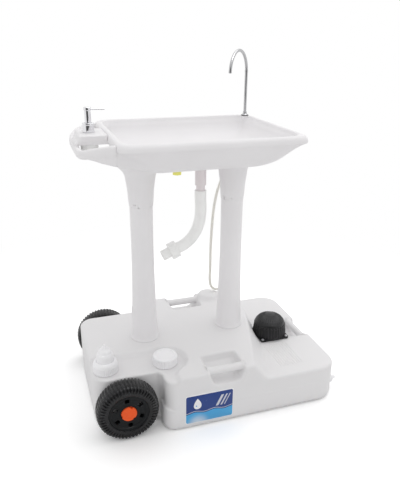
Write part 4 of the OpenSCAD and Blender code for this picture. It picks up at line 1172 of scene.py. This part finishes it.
class WashStandColours(bpy.types.PropertyGroup):
    """Colours of the plastics, rubbers and metals"""
    tank: colour("Tank", "Thick pale plastic of the tank and its caps", (0.77, 0.762, 0.768))
    basin: colour("Basin", "Pale plastic of the bowl, the rail and the columns", (0.825, 0.812, 0.822))
    cap: colour("Caps", "Plastic of the screw caps", (0.88, 0.875, 0.89))
    waste: colour("Waste pipe", "Grey plastic of the tail pipe", (0.82, 0.765, 0.78))
    hose: colour("Waste hose", "Soft plastic of the waste hose", (0.93, 0.93, 0.92))
    water: colour("Water hose", "Milky tube of the water hose", (0.90, 0.885, 0.83))
    tyre: colour("Tyres", "Rubber of the tyres", (0.005, 0.005, 0.006))
    hub: colour("Hubs", "Black plastic of the hubs", (0.006, 0.007, 0.008))
    orange: colour("Hub covers", "Bright plastic of the hub covers", (0.84, 0.105, 0.02))
    pump: colour("Foot pump", "Rubber of the foot pump", (0.006, 0.006, 0.007))
    yellow: colour("Stopper", "Bright plastic of the stopper in the basin", (0.93, 0.90, 0.24))
    steel: colour("Steel", "Zinc-coated steel", (0.60, 0.60, 0.62))
    chrome: colour("Chrome", "Plated metal of the spout and the soap pump", (0.78, 0.78, 0.80))
    pipe: colour("Spout", "Satin steel of the swivelling spout", (0.50, 0.50, 0.51))
    label_field: colour("Label", "Upper field of the label", (0.012, 0.045, 0.22))
    label_foot: colour("Label foot", "Lower field of the label", (0.06, 0.38, 0.72))


def sizes():
    """The scene's sizes, as a user may have changed them."""
    return bpy.context.scene.wash_stand_sizes


def finish(name):
    """The named material, made from the scene's colours when it is first asked for."""
    made = bpy.data.materials.get(name)
    if made:
        return made
    c = bpy.context.scene.wash_stand_colours
    makers = {
        "tank_plastic": (tank_plastic, c.tank),
        "basin_plastic": (moulded, c.basin, 0.46, 0.00008, 800.0, 0.014, 0.14),
        "column_plastic": (moulded, c.basin, 0.42, 0.00012, 700.0, 0.014),
        "cap_plastic": (moulded, c.cap, 0.38, 0.00006, 1100.0, 0.02),
        "waste_plastic": (moulded, c.waste, 0.4, 0.00006, 900.0, 0.025),
        "nut_plastic": (moulded, c.hose, 0.36, 0.00006, 900.0, 0.02),
        "hub_plastic": (moulded, c.hub, 0.46, 0.0001, 1200.0, 0.25),
        "cover_plastic": (moulded, c.orange, 0.34, 0.00006, 1000.0, 0.04),
        "stopper_plastic": (moulded, c.yellow, 0.4, 0.00006, 900.0, 0.03),
        "waste_hose": (soft_hose, c.hose),
        "water_hose": (soft_hose, c.water, 0.25),
        "tyre_rubber": (rubber, c.tyre, 0.27),
        "pump_rubber": (rubber, c.pump, 0.34),
        "seal_rubber": (rubber, c.tyre, 0.55),
        "zinc_steel": (metal, c.steel, 0.34, 0.12),
        "chrome_plate": (metal, c.chrome, 0.05, 0.0),
        "satin_steel": (metal, c.pipe, 0.2, 0.05),
        "label_film": (label_print, (0.85, 0.85, 0.86), c.label_field, c.label_foot),
    }
    maker, *values = makers[name]
    return maker(name, *values)


def dress(name, *nodes):
    """Gives construction nodes that stay in view their finish."""
    for node in nodes:
        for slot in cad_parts[node].material_slots:
            slot.material = finish(name)


def finished(name, shell, material, body, slot, *nodes, crease=None):
    """A piece with its finish, on its body, in place of its construction nodes."""
    piece = put_mesh(name, *shell, crease=crease)
    piece.data.materials.append(finish(material))
    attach(piece, body)
    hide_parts(*nodes)
    return piece


# ---- operators ----

class WASHSTAND_OT_tank(bpy.types.Operator):
    """Build the tank with its necks, hand bars and label"""
    bl_idname = "washstand.tank"
    bl_label = "Tank"

    def execute(self, context):
        tank = join(tank_shell(sizes()), neck(FILL, 26, 20, span("fill_cap_gasket")[0][2]),
                    neck(SPOUT, 24, 18, span("spout_gasket")[0][2]))
        finished("tank", tank, "tank_plastic", "tank", "hdpe", "tank_body")
        for name, turn in (("front_handle_bar", 0), ("back_handle_bar", 0), ("end_handle_bar", 90)):
            low, high = span(name)
            shell = set_at(bar((high - low).max(), (high - low).min() / 2), middle(name), turning(turn, "Z"))
            finished(name + "_grip", shell, "tank_plastic", "tank", "hdpe", name)
        low, high = span("tank_label")
        film = plate(low[0], high[0], low[2], high[2], -HALF_W + 1, low[1], 5)
        finished("label", film, "label_film", "tank", "label", "tank_label", crease=50)
        return {"FINISHED"}


class WASHSTAND_OT_wheels(bpy.types.Operator):
    """Build the two wheels: tyres with lugs, hubs and their covers, and dress the axle"""
    bl_idname = "washstand.wheels"
    bl_label = "Wheels"

    def execute(self, context):
        tyre = tyre_surface(sizes())
        hub = skin(hub_field, spread(-50, 50, 1.25), spread(-50, 50, 1.25), spread(-5, WHEEL_W + 1, 1.25), 2)
        cover = skin(hub_cap_field, spread(-20, 20, 0.6), spread(-20, 20, 0.6), spread(-1, 13, 0.6), 2)
        for side, body in ((-1, "front"), (1, "back")):
            wheel = body + "_wheel"
            finished(body + "_tread", on_wheel(tyre, side), "tyre_rubber", wheel, "tyre", body + "_tyre",
                     crease=48)
            finished(body + "_centre", on_wheel(hub, side), "hub_plastic", wheel, "hub", body + "_hub",
                     crease=50)
            finished(body + "_cover", on_wheel(cover, side, WHEEL_W - 12.2), "cover_plastic", wheel, "orange",
                     body + "_hub_cap", crease=45)
        dress("zinc_steel", "axle", "axle_push_nuts", "wheel_washers")
        return {"FINISHED"}


class WASHSTAND_OT_caps(bpy.types.Operator):
    """Build the fill cap, the pouring spout with its ring and tip, and the drain plug"""
    bl_idname = "washstand.caps"
    bl_label = "Caps"

    def execute(self, context):
        for name, shell, body, node, crease in (
                ("fill_cap_shell", fill_cap_shell(), "fill_cap", "fill_cap", 38),
                ("spout_ring_shell", spout_ring_shell(), "spout_ring", "spout_ring", 38),
                ("spout_dome", spout_dome_shell(), "spout", "spout_nozzle", 40),
                ("spout_pull_cap", spout_tip_shell(), "spout_tip", "spout_tip_cap", 40),
                ("drain_plug_shell", drain_plug_shell(), "drain_plug", "drain_plug", 38)):
            finished(name, shell, "cap_plastic", body, "white_plastic", node, crease=crease)
        dress("seal_rubber", "fill_cap_gasket", "spout_gasket", "drain_plug_gasket")
        return {"FINISHED"}


class WASHSTAND_OT_pump(bpy.types.Operator):
    """Build the foot pump: skirt, tread dome and spring, and dress its plate, screws and valves"""
    bl_idname = "washstand.foot_pump"
    bl_label = "Foot pump"

    def execute(self, context):
        finished("pump_dome", tread_shell(), "pump_rubber", "tread", "rubber", "pump_tread", crease=50)
        skirt = finished("pump_skirt", bellows_shell(), "pump_rubber", "tank", "rubber", "pump_bellows",
                         crease=50)
        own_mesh(skirt)
        low, high = span("pump_spring")
        shell = stood(coil(radius=24, wire=3, turns=4, z0=low[2] + 1.5, z1=high[2] - 1.5), PUMP)
        spring = finished("pump_return_spring", shell, "zinc_steel", "tank", "steel", "pump_spring")
        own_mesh(spring)
        dress("pump_rubber", "pump_base")
        dress("seal_rubber", "pump_gasket", "pump_valve_balls")
        dress("zinc_steel", "pump_screws")
        dress("cap_plastic", "pump_valve_box", "pump_strainer")
        dress("water_hose", "pump_suction_tube", "pump_delivery_tube")
        return {"FINISHED"}


class WASHSTAND_OT_columns(bpy.types.Operator):
    """Build the two columns"""
    bl_idname = "washstand.columns"
    bl_label = "Columns"

    def execute(self, context):
        for name, at in (("left_column", LEFT_COLUMN), ("right_column", RIGHT_COLUMN)):
            finished(name + "_shaft", column_shell(at), "column_plastic", "columns", "hdpe", name, crease=50)
        return {"FINISHED"}


class WASHSTAND_OT_basin(bpy.types.Operator):
    """Build the bowl, its underside with the column sockets, the towel rail and the drain parts"""
    bl_idname = "washstand.basin"
    bl_label = "Basin"

    def execute(self, context):
        bowl = join(bowl_shell(), faucet_boss_shell())
        finished("bowl", bowl, "basin_plastic", "basin", "white_plastic", "basin_bowl", crease=60)
        finished("underside", base_shell(step=3.4), "basin_plastic", "basin", "hdpe", "basin_base", crease=60)
        low, high = span("towel_rail")
        rail = skin(rail_field, spread(low[0] - 2, high[0] + 4, 1.9), spread(low[1] - 2, high[1] + 2, 1.9),
                    spread(low[2] - 14, high[2] + 2, 1.7))
        finished("rail", rail, "basin_plastic", "basin", "hdpe", "towel_rail", crease=60)
        dress("zinc_steel", "drain_strainer")
        dress("seal_rubber", "drain_washer")
        dress("waste_plastic", "drain_nut", "drain_tailpiece")
        dress("stopper_plastic", "yellow_plug")
        return {"FINISHED"}


class WASHSTAND_OT_soap(bpy.types.Operator):
    """Build the soap pump on its platform"""
    bl_idname = "washstand.soap_pump"
    bl_label = "Soap pump"

    def execute(self, context):
        for name, shell, body, node in (
                ("soap_pump_collar", soap_collar_shell(), "basin", "soap_collar"),
                ("soap_pump_stem", soap_stem_shell(), "soap_plunger", "soap_stem"),
                ("soap_pump_head", soap_head_shell(), "soap_nozzle", "soap_head")):
            finished(name, shell, "chrome_plate", body, "chrome", node, crease=40)
        low, high = span("soap_spring")
        shell = stood(coil(radius=4.9, wire=1, turns=5, z0=low[2] + 0.5, z1=high[2] - 0.5), SOAP)
        spring = finished("soap_return_spring", shell, "zinc_steel", "basin", "steel", "soap_spring")
        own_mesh(spring)
        dress("nut_plastic", "soap_bottle", "soap_barrel")
        return {"FINISHED"}


class WASHSTAND_OT_faucet(bpy.types.Operator):
    """Build the swivelling spout and its foot"""
    bl_idname = "washstand.faucet"
    bl_label = "Spout"

    def execute(self, context):
        finished("spout_foot", faucet_flange_shell(), "satin_steel", "basin", "chrome", "faucet_flange",
                 crease=40)
        z = BEND_Z
        sleeve = turned(fillets([(4.05, z - 3.5, 0.2), (4.4, z - 3.5, 0.3), (4.4, z + 2.5, 0.3),
                                 (4.05, z + 2.5, 0.2)]), 40)
        pipe = set_at(join(hollow(faucet_line(), 3.9, 2.9), sleeve), turn=turning(-135, "Z"))
        finished("spout_pipe", stood(pipe, FAUCET), "satin_steel", "faucet", "chrome", "faucet_spout",
                 crease=40)
        dress("satin_steel", "faucet_nozzle")
        dress("seal_rubber", "faucet_seal")
        dress("nut_plastic", "faucet_nut", "faucet_tail")
        return {"FINISHED"}


class WASHSTAND_OT_hoses(bpy.types.Operator):
    """Build the waste hose with its end and the water hose with its elbow"""
    bl_idname = "washstand.hoses"
    bl_label = "Hoses"

    def execute(self, context):
        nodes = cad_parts
        for name, node, route, wide, material, end, pieces in (
                ("waste_hose_tube", "drain_hose", WASTE_ROUTE, WASTE_D, "waste_hose", "fitting",
                 [nodes["hose_end_nut"], nodes["hose_end_tail"]]),
                ("water_hose_tube", "supply_hose", WATER_ROUTE, WATER_D, "water_hose", "object", [])):
            path = smooth_path(route, 8)
            hose = finished(name, tube(path, wide / 2, 40), material, "basin", "hose", node, crease=60)
        dress("nut_plastic", "hose_end_nut", "hose_end_tail", "hose_elbow")
        return {"FINISHED"}


class WASHSTAND_OT_studio(bpy.types.Operator):
    """Set up the floor, the light and the camera"""
    bl_idname = "washstand.studio"
    bl_label = "Studio"

    def execute(self, context):
        scene = context.scene
        scene.view_settings.view_transform = "Standard"
        lens = bpy.data.cameras.new("camera")
        lens.sensor_fit, lens.sensor_height, lens.sensor_width = "VERTICAL", SENSOR, SENSOR
        lens.lens, lens.shift_y = FOCAL * SENSOR, SHIFT_Y
        lens.clip_start, lens.clip_end = 0.01, 100
        camera = bpy.data.objects.new("camera", lens)
        scene.collection.objects.link(camera)
        camera.matrix_world = (Matrix.Translation(CAMERA_AT)
                               @ Matrix.Rotation(math.radians(CAMERA_YAW), 4, "Z")
                               @ Matrix.Rotation(math.radians(90 - CAMERA_PITCH), 4, "X")
                               @ Matrix.Rotation(math.radians(CAMERA_ROLL), 4, "Z"))
        scene.camera = camera
        floor = studio_floor()
        scene.collection.objects.link(floor)
        lamp = bpy.data.lights.new("key_lamp", "AREA")
        lamp.shape, lamp.size, lamp.energy = "DISK", LAMP_WIDE, LAMP_WATTS
        piece = bpy.data.objects.new("key_lamp", lamp)
        scene.collection.objects.link(piece)
        aim = (Vector(LAMP_AIM) - Vector(LAMP_AT)).to_track_quat("-Z", "Y")
        piece.matrix_world = Matrix.Translation(LAMP_AT) @ aim.to_matrix().to_4x4()
        scene.world = studio_world()
        return {"FINISHED"}


def studio_floor():
    """A round floor. It keeps the object's shadow near it, and fades out to plain white further off."""
    a = np.arange(96) * 2 * np.pi / 96
    ring = np.stack([np.cos(a), np.sin(a), 0 * a], axis=1)
    mesh = bpy.data.meshes.new("floor")
    mesh.from_pydata((FLOOR_R * ring - (0, 0, FLOOR_DEPTH)).tolist(), [], [tuple(range(96))])
    floor = bpy.data.objects.new("floor", mesh)
    material = bpy.data.materials.new("floor_paper")
    start = blank(material)
    x, y, _ = start.node("ShaderNodeTexCoord", out=3).parts()
    away = (x * x + y * y) ** 0.5
    far = away.between(0.55, 1.3)
    seen, gloss = start.node("ShaderNodeLightPath").outputs("Is Camera Ray", "Is Glossy Ray")
    paper = start.node("ShaderNodeBsdfDiffuse", None, {
        "Color": seen.blend((0.86, 0.86, 0.86, 1), (1.2, 1.2, 1.2, 1))})
    # the studio's unlit side, which shiny metal mirrors
    dark = ((x * -0.32 - y * 0.95) / (away + 0.001)).between(0.72, 0.9) * away.between(0.9, 1.4)
    plain = start.node("ShaderNodeEmission", None, {
        "Color": (1, 1, 1, 1), "Strength": 1 - dark * gloss * 0.9})
    both = start.node("ShaderNodeMixShader", None, {0: far * seen.math("MAXIMUM", gloss), 1: paper, 2: plain})
    start.node("ShaderNodeOutputMaterial", None, {"Surface": both})
    mesh.materials.append(material)
    return floor


def studio_world():
    """White to the camera, in gloss and through clear pieces, and a soft sky with a dimmer front for the
    rest."""
    world = bpy.data.worlds.new("studio")
    start = blank(world)
    x, y, z = start.node("ShaderNodeTexCoord").parts()
    seen, gloss, clear = start.node("ShaderNodeLightPath").outputs(
        "Is Camera Ray", "Is Glossy Ray", "Is Transmission Ray")
    # the studio's unlit side, which shiny metal mirrors
    dark = (x * -0.32 - y * 0.95).between(0.72, 0.9) * (1 - z.between(0.35, 0.7))
    sky = 0.70 + z.between(-0.2, 0.8) * 0.24 + y.between(-0.7, 0.4) * 0.05
    # a soft box overhead, which only gloss shows
    box = (x * 0.1 - y * 0.3 + z * 0.948).between(0.92, 0.96) * 3.5
    strength = seen.math("MAXIMUM", clear) + gloss * (1 - dark * 0.9 + box)
    strength = strength + (1 - seen.math("MAXIMUM", clear).math("MAXIMUM", gloss)) * sky
    light = start.node("ShaderNodeBackground", None, {"Color": (1, 1, 1, 1), "Strength": strength})
    start.node("ShaderNodeOutputWorld", None, {"Surface": light})
    return world


class WASHSTAND_PT_panel(bpy.types.Panel):
    """Sizes, colours and the pieces of the wash stand"""
    bl_idname = "WASHSTAND_PT_panel"
    bl_label = "Wash stand"
    bl_space_type = "VIEW_3D"
    bl_region_type = "UI"
    bl_category = "Wash stand"

    def draw(self, context):
        layout = self.layout
        for title, group in (("Sizes", context.scene.wash_stand_sizes),
                             ("Colours", context.scene.wash_stand_colours)):
            layout.label(text=title)
            for name in type(group).__annotations__:
                layout.prop(group, name)
        layout.label(text="Pieces")
        for operator in OPERATORS:
            layout.operator(operator.bl_idname)


OPERATORS = (WASHSTAND_OT_studio, WASHSTAND_OT_hoses, WASHSTAND_OT_tank, WASHSTAND_OT_wheels,
             WASHSTAND_OT_caps, WASHSTAND_OT_pump, WASHSTAND_OT_columns, WASHSTAND_OT_basin,
             WASHSTAND_OT_soap, WASHSTAND_OT_faucet)
CLASSES = (WashStandSizes, WashStandColours, *OPERATORS, WASHSTAND_PT_panel)


def register():
    """Adds the classes and the scene's settings to Blender."""
    for cls in CLASSES:
        bpy.utils.register_class(cls)
    bpy.types.Scene.wash_stand_sizes = bpy.props.PointerProperty(type=WashStandSizes)
    bpy.types.Scene.wash_stand_colours = bpy.props.PointerProperty(type=WashStandColours)


def unregister():
    """Takes them out again."""
    del bpy.types.Scene.wash_stand_colours
    del bpy.types.Scene.wash_stand_sizes
    for cls in reversed(CLASSES):
        bpy.utils.unregister_class(cls)


def main():
    """Registers the classes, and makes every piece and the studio."""
    register()
    for operator in OPERATORS:
        group, name = operator.bl_idname.split(".")
        getattr(getattr(bpy.ops, group), name)()


if __name__ == "__main__":
    main()
